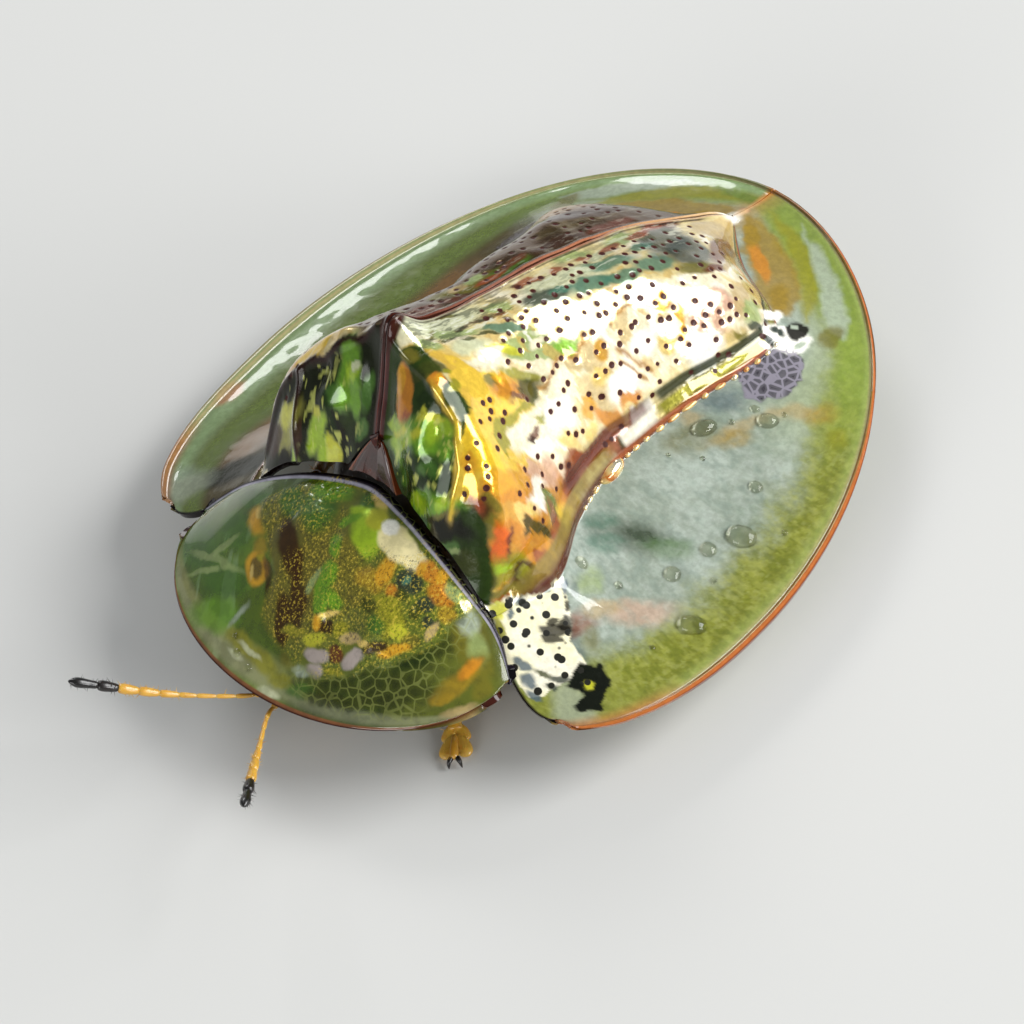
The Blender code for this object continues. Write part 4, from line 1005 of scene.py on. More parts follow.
def wing_case(name, side, settings):
    """One wing case with its dents, punctures, crease, furrow, rim and colours."""
    far = side < 0
    seed = RIGHT_SEED if far else LEFT_SEED
    grid, across, along = wing_grid(*WING_GRID)
    x, y = grid[..., 0], grid[..., 1]
    relief = wing_relief(x, y, across, seed, far)
    pit = np.zeros(x.shape)
    for px, py, radius in puncture_places(seed + 4, settings.punctures, far):
        centre = (px, py, float(disc_height(np.array(px), np.array(py))))
        away = np.linalg.norm(grid - centre, axis=-1) / radius
        near = (away < PIT_REACH) & (across < 1.0)
        relief[near] -= PIT_DEPTH * radius * bulge(away[near], 0, 1)
        pit[near] = np.maximum(pit[near], 1 - away[near] / PIT_REACH)
    coat = Coat(x, y, "f0dc9c", 0.45, 1.0, seed + 30)
    coat_disc(coat, across, far, seed)
    web, patch = coat_margin(coat, across, along, far, seed)
    coat_suture(coat, grid, across, along)
    streak = between(x, 0.10, 0.62, 0.14) * between(y, -1.1, 1.0, 0.3)
    streak = streak + 0.5 * between(x, 0.10, 0.7, 0.2) * between(y, 1.0, 4.9, 0.3)
    grid = grid + grid_normals(grid) * relief[..., None]
    grid[..., 0] = np.maximum(grid[..., 0], 0.008) * side
    thickness = settings.wall / MM * (1 - 0.35 * smooth((across - 1.8) / 0.2))
    shaded = smooth((y + 1.2) / 0.3) * (across < 1.0) if far else 0.0
    fields = {
        "tint": coat.tint, "metal": coat.metal, "solid": coat.solid, "pit": pit, "dots": patch,
        "net": web * (0.3 if far else 1.0), "streak": streak * (0.35 if far else 1.0),
        "gloss": coat.gloss() * (1 - 0.95 * shaded),
    }
    mesh = shell_mesh(name, grid, thickness, fields)
    return new_object(name, mesh, wing_paint())


def wing_paint():
    """The painted fields of a wing case, with punctures, streaks, dots and webs drawn crisply on them."""
    if "wing_gold" in bpy.data.materials:
        return bpy.data.materials["wing_gold"]
    p = Paint("wing_gold", Coat_Roughness=0.03, Specular_IOR_Level=0.25)
    tint = p.attribute("tint", "Color")
    metal, solid, pit, net, dots, streak, gloss = [
        p.attribute(name) for name in ("metal", "solid", "pit", "net", "dots", "streak", "gloss")
    ]
    fine = p.noise(9.0, 4.0, 0.65)
    colour = p.mix(fine.step(0.35, 0.65), p.mix(0.18, tint, "3c3410", "MULTIPLY"), tint)
    hairs = p.noise(2.6, 3.0, 0.6, p.stretched((4.2, 0.9, 1.0), 24))
    colour = p.mix(streak * hairs.step(0.50, 0.58) * 0.60, colour, "28341f")
    # The pale streaks are painted sheen
    colour = p.mix(streak * hairs.step(0.46, 0.38) * 0.60, colour, "f2f3dc")
    cell = p.cells(4.7, random=0.9)
    spots = dots * cell.step(0.36, 0.29)
    colour = p.mix(spots, colour, "16160e")
    mesh = p.cells(6.5, "DISTANCE_TO_EDGE")
    colour = p.mix(net * mesh.step(0.16, 0.06) * 0.8, colour, "8f8a96")
    colour = p.mix(net * mesh.step(0.20, 0.40) * 0.6, colour, "221c26")
    halo = pit.step(0.46, 0.62)
    colour = p.mix(halo * 0.35, colour, "c88a28", "MULTIPLY")
    hole = pit.step(0.60, 0.67)
    colour = p.mix(hole, colour, "3a0f05")
    dark = (hole + spots).maths("MINIMUM", hole + spots, 1.0)
    p.relief(fine, 0.15, 0.03)
    roughness = 0.14 + fine.step(0.45, 0.70) * 0.10 + dark * 0.3
    p.set(Base_Color=colour, Metallic=metal * (1 - dark), Roughness=roughness, Alpha=solid)
    p.set(Coat_Weight=gloss * (1 - dark * 0.9))
    return p.material


# Outline of the gilt dome of the shield, its marks, and the marks of its clear rim
SHIELD_DOME = [
    (-1.90, -3.40), (-1.35, -2.95), (-0.70, -2.60), (0.05, -2.55), (0.80, -2.75), (1.50, -2.85),
    (2.10, -2.95), (2.50, -3.05), (2.45, -3.30), (2.40, -3.60), (2.42, -3.85), (2.15, -4.30),
    (1.90, -4.65), (1.35, -5.00), (0.85, -5.30), (0.25, -5.25), (-0.25, -5.15), (-0.70, -4.90),
    (-0.70, -4.50), (-1.05, -4.10), (-1.55, -3.80),
]
# The white, cream and straw marks on the dome are painted highlights
SHIELD_MARKS = [
    (-0.40, -4.05, 1.40, 1.00, -16, "bronze", 0.5), (-1.23, -3.27, 0.44, 0.24, -32, "moss"),
    (-0.62, -3.17, 0.46, 0.30, -48, "moss"), (-0.60, -2.84, 0.38, 0.22, 7, "leaf"),
    (-0.74, -3.92, 0.56, 0.20, -41, "umber"), (-0.14, -4.40, 0.60, 0.20, -61, "umber"),
    (-0.23, -4.86, 0.40, 0.17, -53, "umber"), (-0.08, -3.92, 0.40, 0.26, -72, "bronze"),
    (0.20, -2.79, 0.26, 0.20, -60, "moss"), (-0.38, -2.55, 0.38, 0.12, 9, "olive"),
    (0.26, -2.65, 0.25, 0.09, -31, "straw"), (0.47, -3.19, 0.44, 0.25, -40, "lime", 0.22),
    (0.50, -2.94, 0.22, 0.17, -36, "yolk"), (0.14, -2.98, 0.20, 0.12, 5, "lime"),
    (0.08, -3.15, 0.20, 0.10, 46, "leaf"), (0.35, -3.67, 0.33, 0.18, -39, "bronze"),
    (0.11, -3.60, 0.19, 0.12, -59, "leaf"), (0.26, -4.02, 0.20, 0.16, -58, "leaf"),
    (0.32, -4.35, 0.28, 0.13, -58, "leaf", 0.22), (0.53, -4.29, 0.20, 0.12, -17, "leaf"),
    (0.05, -4.19, 0.17, 0.07, 82, "sage"), (0.62, -3.88, 0.23, 0.16, 13, "bronze"),
    (0.97, -3.76, 0.30, 0.18, 6, "honey"), (0.91, -4.05, 0.24, 0.16, 31, "bronze"),
    (1.03, -3.11, 0.37, 0.25, -15, "cream", 0.15), (0.77, -2.96, 0.17, 0.12, -29, "white", 0.2),
    (1.40, -3.18, 0.24, 0.18, -3, "cream", 0.2), (1.12, -3.56, 0.20, 0.14, 90, "gold"),
    (1.40, -3.72, 0.13, 0.11, -10, "amber"), (1.56, -3.46, 0.25, 0.18, 12, "slate", 0.18),
    (1.51, -3.45, 0.08, 0.06, 46, "jade"), (1.56, -3.68, 0.12, 0.10, 10, "peat"),
    (1.95, -3.58, 0.15, 0.11, 53, "slate", 0.2), (2.12, -3.76, 0.09, 0.09, -56, "slate", 0.2),
    (1.88, -3.76, 0.11, 0.08, -51, "peat"), (1.77, -3.14, 0.24, 0.14, -4, "amber"),
    (2.05, -3.31, 0.19, 0.17, 20, "amber"), (2.15, -3.14, 0.14, 0.12, 0, "sage"),
    (2.42, -3.15, 0.12, 0.07, 3, "cream", 0.18), (2.29, -3.49, 0.15, 0.12, 64, "honey"),
    (1.42, -3.95, 0.30, 0.15, 18, "olive"), (1.67, -4.12, 0.25, 0.18, 42, "olive"),
    (1.83, -4.13, 0.17, 0.12, 23, "yolk"), (1.42, -4.26, 0.18, 0.12, 25, "moss"),
    (2.03, -4.13, 0.15, 0.10, 50, "bronze"), (1.17, -4.08, 0.17, 0.12, 4, "peat"),
    (0.62, -4.65, 0.15, 0.10, 11, "umber", 0.16), (0.56, -4.49, 0.20, 0.04, 30, "straw"),
    (0.44, -4.66, 0.12, 0.06, -55, "gold"), (0.88, -4.59, 0.13, 0.10, 5, "olive"),
    (0.53, -4.88, 0.20, 0.08, 25, "yolk"), (0.11, -4.91, 0.28, 0.06, 12, "olive"),
    (1.12, -4.62, 0.19, 0.07, 22, "tan"), (0.65, -5.05, 0.22, 0.10, 10, "pearl", 0.2),
    (0.71, -5.25, 0.16, 0.10, 16, "pearl"), (1.29, -4.82, 0.20, 0.11, 38, "pearl", 0.2),
    (0.97, -4.90, 0.15, 0.11, 15, "brown", 0.2), (1.06, -5.11, 0.22, 0.05, 15, "olive"),
    (1.60, -4.52, 0.23, 0.10, 41, "umber"), (1.90, -4.39, 0.28, 0.07, 48, "gold"),
    (2.22, -3.82, 0.16, 0.06, 87, "tan"), (1.37, -4.58, 0.11, 0.05, 27, "straw"),
    (1.60, -3.21, 0.10, 0.09, -47, "gold"), (1.90, -3.03, 0.17, 0.08, -89, "gold"),
]
SHIELD_RIM_MARKS = [
    (-2.80, -4.26, 0.70, 0.34, -23, "moss"), (-1.80, -4.71, 0.56, 0.27, 0, "moss"),
    (-1.64, -5.18, 0.55, 0.22, 6, "leaf"), (-2.10, -3.96, 0.50, 0.26, -26, "moss"),
    (-2.10, -3.40, 0.46, 0.20, -12, "moss"), (-2.19, -4.46, 0.75, 0.06, -5, "sage"),
    (-2.19, -4.25, 0.32, 0.07, 46, "sage"), (-2.31, -4.66, 0.34, 0.05, 15, "sage"),
    (-1.14, -5.06, 0.21, 0.06, 59, "milk"), (-1.69, -3.73, 0.32, 0.17, -35, "gold"),
    (-1.72, -3.60, 0.17, 0.08, -20, "straw"), (-1.17, -4.40, 0.31, 0.21, -32, "gold", 0.16),
    (-1.17, -4.40, 0.19, 0.12, -43, "bottle", 0.2), (-1.17, -4.23, 0.10, 0.06, -4, "olive"),
    (-1.23, -4.47, 0.11, 0.04, -73, "straw"), (-1.29, -4.08, 0.19, 0.12, -5, "honey"),
    (-0.60, -4.76, 0.34, 0.09, -55, "umber"), (-1.26, -3.81, 0.50, 0.10, -43, "peat"),
    (-0.88, -4.42, 0.30, 0.08, -46, "umber"), (-0.88, -5.35, 0.35, 0.12, -13, "olive"),
    (-0.30, -5.46, 0.38, 0.12, -8, "olive"), (-0.62, -5.41, 0.26, 0.04, -9, "mist"),
    (-0.85, -5.55, 0.20, 0.04, -4, "mist"), (0.20, -5.56, 0.28, 0.08, 10, "olive"),
    (0.08, -5.77, 0.23, 0.07, 3, "mist"), (0.23, -5.26, 0.20, 0.14, 2, "bronze"),
    (0.62, -5.54, 0.27, 0.10, 13, "moss"), (0.53, -5.32, 0.16, 0.06, 15, "milk"),
    (1.20, -5.43, 0.52, 0.09, 16, "peat"), (1.37, -5.15, 0.28, 0.07, 21, "peat"),
    (2.76, -3.51, 0.35, 0.30, -45, "bronze"), (2.60, -3.32, 0.20, 0.17, -34, "milk"),
    (2.93, -3.54, 0.24, 0.16, -47, "sage"), (3.10, -3.73, 0.25, 0.20, 80, "bronze"),
    (2.93, -4.18, 0.45, 0.12, 72, "honey"), (2.98, -3.83, 0.22, 0.08, 75, "amber"),
    (2.85, -4.50, 0.20, 0.08, 53, "honey"), (3.18, -4.46, 0.30, 0.08, 57, "tan"),
    (3.29, -3.96, 0.19, 0.11, 77, "bronze"), (2.24, -4.76, 0.68, 0.20, 33, "peat"),
    (2.15, -4.29, 0.45, 0.18, 40, "bottle"), (2.46, -3.90, 0.19, 0.16, 50, "peat"),
    (1.85, -5.12, 0.55, 0.09, 28, "peat"),
]

# Swellings and hollows of the dome: (x, y, radius, height)
SHIELD_LUMPS = [
    (1.00, -3.10, 0.33, 0.07), (0.45, -3.15, 0.34, 0.06), (0.16, -3.55, 0.15, 0.06),
    (1.48, -4.20, 0.28, 0.07), (0.58, -4.64, 0.11, -0.05), (-0.60, -3.60, 0.40, 0.06),
    (1.53, -3.40, 0.17, -0.05), (1.90, -3.68, 0.10, -0.04), (0.72, -3.62, 0.20, -0.06),
    (0.30, -3.95, 0.20, 0.05), (1.05, -4.55, 0.22, -0.05), (-1.25, -3.80, 0.25, -0.04),
]


def shield(settings):
    """The shield over head and neck, granular on its dome and glassy at its rim."""
    rows, columns = SHIELD_GRID
    line = SHIELD_HALF_WIDTH * np.sin(math.pi / 2 * np.linspace(-1, 1, columns))[None, :]
    share = np.linspace(0, 1, rows)[:, None]
    y = shield_rear(line) + (shield_front(line) - shield_rear(line)) * share
    x, share = np.broadcast_to(line, y.shape), np.broadcast_to(share, y.shape)
    grid = np.stack([x, y, shield_height(x, y)], -1)
    coat = Coat(x, y, "4f6410", 0.0, 0.90, 60, 0.06)
    dome = coat.region(SHIELD_DOME, 0.14)
    green = fractal(x, y, 0.9, 61)
    coat.lay(smooth((green + 0.1) / 0.4) * 0.6, "66851c")
    coat.lay(smooth((x - 0.2) / 0.8) * 0.9, "39420f")
    coat.lay(smooth((x - 2.0) / 0.7) * 0.5, "6b7020")
    smear = smooth((fractal(x + 0.5 * y, 0.3 * y - 0.1 * x, 0.35, 62) - 0.12) / 0.25)
    coat.lay(smear * smooth((-0.6 - x) / 0.6) * 0.4, "9fb88a")
    coat.lay(between(share, 0.84, 0.965, 0.06) * smooth((0.9 - x) / 1.2) * 0.6, "a8a468", solid=0.85)
    coat.lay(between(share, 0.90, 0.965, 0.04) * 0.4, "a8ab88", solid=0.82)
    coat.ovals(SHIELD_RIM_MARKS, (1 - dome) * 0.85, 0.90, 0.40)
    coat.lay(dome, "64701a", 0.30, 1.0)
    coat.ovals(SHIELD_MARKS, dome)
    calm = 1 - np.clip(coat.oval(0.42, -3.08, 0.42, 0.40) + coat.oval(1.02, -3.02, 0.32, 0.26), 0, 1)
    grain = dome * smooth((fractal(x, y, 0.8, 63) + 0.45) / 0.3) * calm
    grain *= 1 - np.clip(coat.oval(0.60, -5.10, 0.2, 0.2) + coat.oval(1.26, -4.84, 0.2, 0.2), 0, 1)
    coat.lay(smooth((0.052 - share) / 0.006), "b4b0c0", 0.2, 1.0)
    coat.lay(smooth((0.036 - share) / 0.006), "1c1420", 0.2, 1.0)
    coat.lay(smooth((0.014 - share) / 0.006), "070405", 0.0, 1.0)
    coat.lay(smooth((share - 0.974) / 0.006), "7a4a26", 0.0, 1.0)
    coat.lay(smooth((share - 0.991) / 0.005), "3a1408", 0.0, 1.0)
    swell = 0.018 * ripple(x, y, 0.50, 64) + 0.012 * ripple(x, y, 0.24, 65)
    relief = dome * (swell - 0.012 * np.abs(ripple(x, y, 0.36, 68)))
    relief += grain * (0.005 * ripple(x, y, 0.085, 66) + 0.003 * ripple(x, y, 0.05, 67))
    for lump_x, lump_y, radius, height in SHIELD_LUMPS:
        relief += height * hill(x, y, (lump_x, lump_y), radius)
    relief += 0.035 * bulge(share, 0.022, 0.016) + 0.02 * bulge(share, 0.985, 0.010)
    grid = grid + grid_normals(grid) * relief[..., None]
    net = (1 - dome) * smooth((x + 0.1) / 0.8) * smooth((2.9 - x) / 0.4) * smooth((0.95 - share) / 0.04)
    fields = {
        "tint": coat.tint, "metal": coat.metal, "solid": coat.solid, "grain": grain, "net": net,
        "gloss": coat.gloss(),
    }
    mesh = shell_mesh("shield", grid, np.full(x.shape, settings.wall / MM), fields)
    return new_object("shield", mesh, shield_paint())


def shield_paint():
    """The painted fields of the shield, with gilt grains on its dome and a net in its rim."""
    p = Paint("shield_gold", Coat_Roughness=0.04, Specular_IOR_Level=0.25)
    tint = p.attribute("tint", "Color")
    metal, solid, grain, net = [p.attribute(name) for name in ("metal", "solid", "grain", "net")]
    dust = p.noise(23.0, 3.0, 0.7, p.stretched((1.0, 0.75, 1.0), 35))
    colour = p.mix(grain * dust.step(0.54, 0.62) * 0.55, tint, "dcc044")
    colour = p.mix(grain * dust.step(0.46, 0.38) * 0.60, colour, "2e2206")
    mesh = p.cells(5.4, "DISTANCE_TO_EDGE")
    colour = p.mix(net * mesh.step(0.09, 0.03) * 0.40, colour, "8f9650")
    colour = p.mix(net * mesh.step(0.14, 0.35) * 0.40, colour, "1c260a")
    wisps = p.noise(3.5, 4.0, 0.65)
    colour = p.mix((1 - grain) * wisps.step(0.40, 0.62) * 0.25, colour, "2c300e", "MULTIPLY")
    p.relief(dust * grain + mesh.step(0.0, 0.12) * 0.2 * net, 0.30, 0.03)
    roughness = 0.16 + grain * 0.12
    p.set(Base_Color=colour, Metallic=metal, Roughness=roughness, Alpha=solid)
    p.set(Coat_Weight=p.attribute("gloss"))
    return p.material


UP = (0, 0, 1)


class Forms:
    """Closed forms gathered into one mesh. Each point has a shade and a share of hair, 0 to 1."""

    def __init__(self):
        self.points = []
        self.faces = []
        self.shade = []
        self.hair = []

    def rings(self, rings, shade, hair=0.0):
        """Closes a stack of rings whose first and last are drawn together to points."""
        rows, sides = rings.shape[:2]
        start = len(self.points)
        self.points += rings.reshape(-1, 3).tolist()
        for values, own in ((shade, self.shade), (hair, self.hair)):
            own += np.repeat(np.broadcast_to(values, rows), sides).tolist()
        i, j = np.meshgrid(np.arange(rows - 1), np.arange(sides), indexing="ij")
        a, b = (start + i * sides + j).ravel(), (start + i * sides + (j + 1) % sides).ravel()
        self.faces += np.stack([a, b, b + sides, a + sides], 1).tolist()

    def tube(self, path, widths, flat=1.0, up=UP, rings=20, sides=16, blunt=5, shade=0.0, hair=0.0):
        """A rounded form along a path. Widths are (share, radius) pairs, flat is height over width."""
        t = 0.5 - 0.5 * np.cos(np.pi * np.linspace(0, 1, rings + 1))
        knots = np.linspace(0, 1, len(path))
        centre = np.stack([through(list(zip(knots, axis)), t) for axis in np.array(path, float).T], 1)
        radius = through(widths, t) * np.sqrt(1 - np.abs(2 * t - 1) ** (2 * blunt))
        along = unit(np.gradient(centre, axis=0))
        side = unit(np.cross(along, up))
        third = np.cross(side, along)
        turn = 2 * np.pi * np.arange(sides) / sides
        ring = np.cos(turn)[:, None] * side[:, None] + flat * np.sin(turn)[:, None] * third[:, None]
        self.rings(centre[:, None] + radius[:, None, None] * ring, shade, hair)

    def orb(self, centre, size, relief=None, rings=32, sides=48, shade=0.0, hair=0.0):
        """An oval form. relief(directions) gives how far its surface stands out, in mm."""
        tilt = np.pi * np.linspace(0, 1, rings + 1)[:, None]
        turn = 2 * np.pi * np.arange(sides)[None, :] / sides
        spread = np.sin(tilt)
        ways = np.stack([spread * np.cos(turn), spread * np.sin(turn), np.cos(tilt) + 0 * turn], -1)
        points = np.array(centre) + ways * size
        if relief:
            points = points + ways * relief(ways)[..., None]
        self.rings(points, shade, hair)

    def mesh(self, name):
        fields = {"shade": np.array(self.shade), "hair": np.array(self.hair)}
        return new_mesh(name, self.points, self.faces, fields, 60)

    def join(self, other):
        start = len(self.points)
        self.points += other.points
        self.faces += [[start + corner for corner in face] for face in other.faces]
        self.shade += other.shade
        self.hair += other.hair


# The one skin of the body: (y, half width), (y, height of its belly) and (y, height of its back)
BODY_WIDTH = [
    (-4.40, 0.30), (-4.15, 0.85), (-3.60, 1.35), (-2.90, 1.55), (-2.40, 1.72), (-1.20, 1.98), (0.40, 2.02),
    (2.00, 2.06), (3.40, 1.88), (4.30, 1.42), (4.90, 0.85), (5.20, 0.20),
]
BELLY = [
    (-4.40, -0.20), (-4.00, -0.46), (-3.20, -0.62), (-2.00, -0.70), (0.30, -0.70), (0.80, -0.62),
    (3.00, -0.55), (4.50, -0.32), (5.20, 0.05),
]
BODY_BACK = [
    (-4.40, 0.10), (-4.00, 0.70), (-3.20, 1.35), (-2.50, 1.55), (-1.50, 3.00), (-0.60, 3.20), (1.00, 2.90),
    (2.50, 2.30), (3.80, 1.70), (4.60, 1.15), (5.20, 0.30),
]
BODY_MIDDLE = 0.10
RING_EDGES = (0.95, 2.15, 2.90, 3.55, 4.25)
THORAX_EDGES = (-2.62, -1.75, -0.75)
BODY_FRONT, BODY_LENGTH, BODY_CENTRE = -4.40, 9.60, 0.4

# Hips: their place and size
HIPS = [
    ((0.52, -3.36, -0.60), (0.30, 0.25, 0.17)), ((0.66, -1.45, -0.66), (0.32, 0.25, 0.15)),
    ((0.62, -0.12, -0.68), (0.48, 0.19, 0.13)),
]


def body():
    """Prothorax, thorax and abdomen in one skin, with plates, rings and hips on its underside."""
    rows, sides = 300, 96
    y = (BODY_FRONT + BODY_LENGTH * (0.5 - 0.5 * np.cos(np.pi * np.linspace(0, 1, rows))))[:, None]
    turn = 2 * np.pi * np.arange(sides)[None, :] / sides
    share = np.abs((y - BODY_CENTRE) / (BODY_LENGTH / 2))
    half = through(BODY_WIDTH, y) * np.sqrt(np.clip(1 - share**24, 0, 1))
    x = half * np.sign(np.sin(turn)) * np.abs(np.sin(turn)) ** 0.85
    lower = BODY_MIDDLE + (through(BELLY, y) - BODY_MIDDLE) * np.abs(np.cos(turn)) ** 0.42
    upper = BODY_MIDDLE + (through(BODY_BACK, y) - BODY_MIDDLE) * np.abs(np.cos(turn)) ** 0.9
    below = smooth(0.5 - np.cos(turn) * 3)
    ends = np.sqrt(np.clip(1 - share**16, 0, 1))
    z = BODY_MIDDLE + (np.where(np.cos(turn) < 0, lower, upper) - BODY_MIDDLE) * ends
    bowed = y + 0.10 * (x / 2) ** 2
    rise = 0.0
    for edge in RING_EDGES:
        rise = rise - 0.05 * bulge(bowed, edge, 0.035) + 0.03 * bulge(bowed - edge, -0.10, 0.08)
    for edge in THORAX_EDGES:
        rise = rise - 0.05 * bulge(y - 0.25 * np.abs(x), edge, 0.04) * smooth((0.75 - y) / 0.2)
    rise = rise - 0.035 * bulge(x, 0, 0.035) * between(y, -0.65, 0.75, 0.2)
    rise = rise + 0.10 * bulge(x, 0, 0.16) * between(y, -3.9, -2.75, 0.3)
    rise = rise - 0.04 * bulge(np.abs(x), 0.82 * half, 0.05) * smooth((y - 0.9) / 0.3)
    rise = rise + 0.012 * fractal(x, y + 0 * x, 0.35, 80, 4)
    z = z - below * rise
    forms = Forms()
    forms.rings(np.stack([x, y + 0 * x, z], -1), 0.0, 0.35)
    for (hx, hy, hz), size in HIPS:
        for side in (-1, 1):
            forms.orb((side * hx, hy, hz), size, None, 20, 28, 0.25, 0.3)
    return forms


# The head under the shield
HEAD_AT = (0.0, -4.78, -0.20)
HEAD_SIZE = (0.60, 0.42, 0.46)
EYE_AT = (0.70, -4.80, -0.10)
EYE_SIZE = (0.33, 0.27, 0.35)


def face_relief(ways):
    """Brow, sockets of the feelers, the plate over the mouth and the line down the brow."""
    x, y, z = ways[..., 0], ways[..., 1], ways[..., 2]
    front = smooth((-y - 0.1) / 0.4)
    rise = 0.05 * np.exp(-((x / 0.30) ** 2 + ((z + 0.35) / 0.35) ** 2)) * front
    rise -= 0.03 * bulge(x, 0, 0.035) * smooth(z / 0.2) * front
    for side in (-1, 1):
        away = np.hypot(x - side * 0.26, z - 0.12)
        rise += front * (0.04 * bulge(away, 0.17, 0.05) - 0.04 * bulge(away, 0, 0.10))
        rise -= 0.03 * bulge(x, side * (0.34 + 0.35 * z), 0.04) * front * smooth(-z / 0.2)
    return rise + 0.006 * fractal(x * 2, z * 2, 0.3, 90, 3)


def head():
    """Head capsule with its face, lip, jaws and palps."""
    x, y, z = HEAD_AT
    forms = Forms()
    forms.orb(HEAD_AT, HEAD_SIZE, face_relief, 72, 96, 0.12, 0.15)
    neck = [(x, y + 0.55, z + 0.05), (x, y + 0.20, z)]
    forms.tube(neck, [(0, 0.42), (1, 0.46)], 0.8, UP, 12, 32, 3, 0.4)
    lip = [(-0.20, y - 0.30, z - 0.36), (0, y - 0.36, z - 0.38), (0.20, y - 0.30, z - 0.36)]
    forms.tube(lip, [(0, 0.07), (0.5, 0.10), (1, 0.07)], 0.7, UP, 16, 16, 3, 0.25, 0.5)
    for side in (-1, 1):
        jaw = [(0.22, y - 0.20, z - 0.34), (0.20, y - 0.30, z - 0.47), (0.05, y - 0.31, z - 0.56)]
        jaw = np.array(jaw) * (side, 1, 1)
        forms.tube(jaw, [(0, 0.10), (0.5, 0.085), (1, 0.02)], 0.7, (0, 1, 0), 18, 14, 4, 0.8)
        joints = [(0.30, -0.12, -0.38), (0.36, -0.22, -0.48), (0.38, -0.33, -0.54), (0.36, -0.45, -0.60)]
        for k in range(3):
            ends = [(side * joints[m][0], y + joints[m][1], z + joints[m][2]) for m in (k, k + 1)]
            swell = (0.042, 0.048, 0.040)[k]
            widths = [(0, swell * 0.8), (0.7, swell), (1, swell * 0.7)]
            forms.tube(ends, widths, 1.0, (1, 0, 0), 12, 12, 3, 0.1, 0.6)
    return forms


def eye(name, side, settings, material):
    """A domed eye of many small facets."""
    growth = Growth(name, detail=settings.facet_detail)
    sphere = growth.add("GeometryNodeMeshIcoSphere", {"Radius": 1.0, "Subdivisions": growth.input("detail")})
    facets = growth.add("GeometryNodeDualMesh", {0: sphere})
    raised = growth.add("GeometryNodeExtrudeMesh", {"Mesh": facets, "Offset Scale": 0.012}, mode="FACES")
    tops = Value(growth, raised.socket.node.outputs["Top"])
    domes = growth.add("GeometryNodeScaleElements", {"Geometry": raised, "Selection": tops, "Scale": 0.70})
    place = [float(v) for v in to_metres((side * EYE_AT[0], EYE_AT[1], EYE_AT[2]))]
    scale = [v * MM for v in EYE_SIZE]
    placed = growth.add("GeometryNodeTransform", {"Geometry": domes, "Translation": place, "Scale": scale})
    obj = growth.bake(placed, name, bpy.data.meshes.new(name), material)
    obj.data.shade_smooth()
    obj.data.set_sharp_from_angle(angle=math.radians(25))
    return obj


# Feelers: share of the length and thickness of their eleven joints, and points on their way
FEELER_LENGTHS = (0.13, 0.055, 0.085, 0.085, 0.085, 0.075, 0.085, 0.09, 0.09, 0.09, 0.13)
FEELER_RADII = (0.085, 0.058, 0.044, 0.042, 0.044, 0.050, 0.066, 0.082, 0.092, 0.096, 0.088)
FEELER_WAYS = {
    "left": [
        (0.17, -5.10, -0.14), (0.12, -5.55, -0.06), (0.16, -5.95, 0.06), (0.80, -6.75, 0.42),
        (2.02, -8.12, 1.18),
    ],
    "right": [
        (-0.17, -5.10, -0.14), (-0.26, -5.50, -0.06), (-0.42, -5.90, 0.06), (-1.18, -6.80, 0.56),
        (-2.18, -7.88, 1.38),
    ],
}


def feeler(word):
    """A feeler of eleven joints, the last ones thicker and black at the tip."""
    way = np.array(FEELER_WAYS[word])
    knots = list(np.linspace(0, 1, len(way)))
    marks = np.concatenate([[0], np.cumsum(FEELER_LENGTHS)]) / sum(FEELER_LENGTHS)
    fine = np.linspace(0, 1, 200)
    line = np.stack([through(list(zip(knots, axis)), fine) for axis in way.T], 1)
    run = np.concatenate([[0], np.cumsum(np.linalg.norm(np.diff(line, axis=0), axis=1))])
    run /= run[-1]
    forms = Forms()
    for k, radius in enumerate(FEELER_RADII):
        at = np.linspace(marks[k] - 0.004, marks[k + 1] + 0.004, 5)
        path = np.stack([np.interp(at, run, axis) for axis in line.T], 1)
        base, end = (0.62, 0.86) if k < 10 else (0.75, 0.30)
        widths = [(0, radius * base), (0.25, radius * 0.82), (0.7, radius), (1, radius * end)]
        black = 1.0 if k == 10 else 0.94 if k == 9 else 0.12
        forms.tube(path, widths, 0.9, UP, 22, 18, 6, black, 0.15 if k < 6 else 0.8)
    return forms


# Legs: root, knee, ankle and tip of the toes of the left ones, and how the right feet are shifted
LEG_STANCE = {
    "front": ((0.75, -3.40, -0.62), (2.75, -2.90, -0.40), (2.20, -3.92, -0.72), (2.80, -4.62, -0.90)),
    "middle": ((0.95, -1.45, -0.62), (3.00, -1.35, -0.34), (3.42, -0.30, -0.72), (3.72, 0.50, -0.90)),
    "hind": ((0.85, -0.15, -0.62), (2.70, 1.15, -0.36), (2.95, 2.45, -0.72), (3.30, 3.30, -0.90)),
}
RIGHT_SHIFT = {"front": (-0.25, 0.45), "middle": (0.0, -0.55), "hind": (0.0, 0.40)}


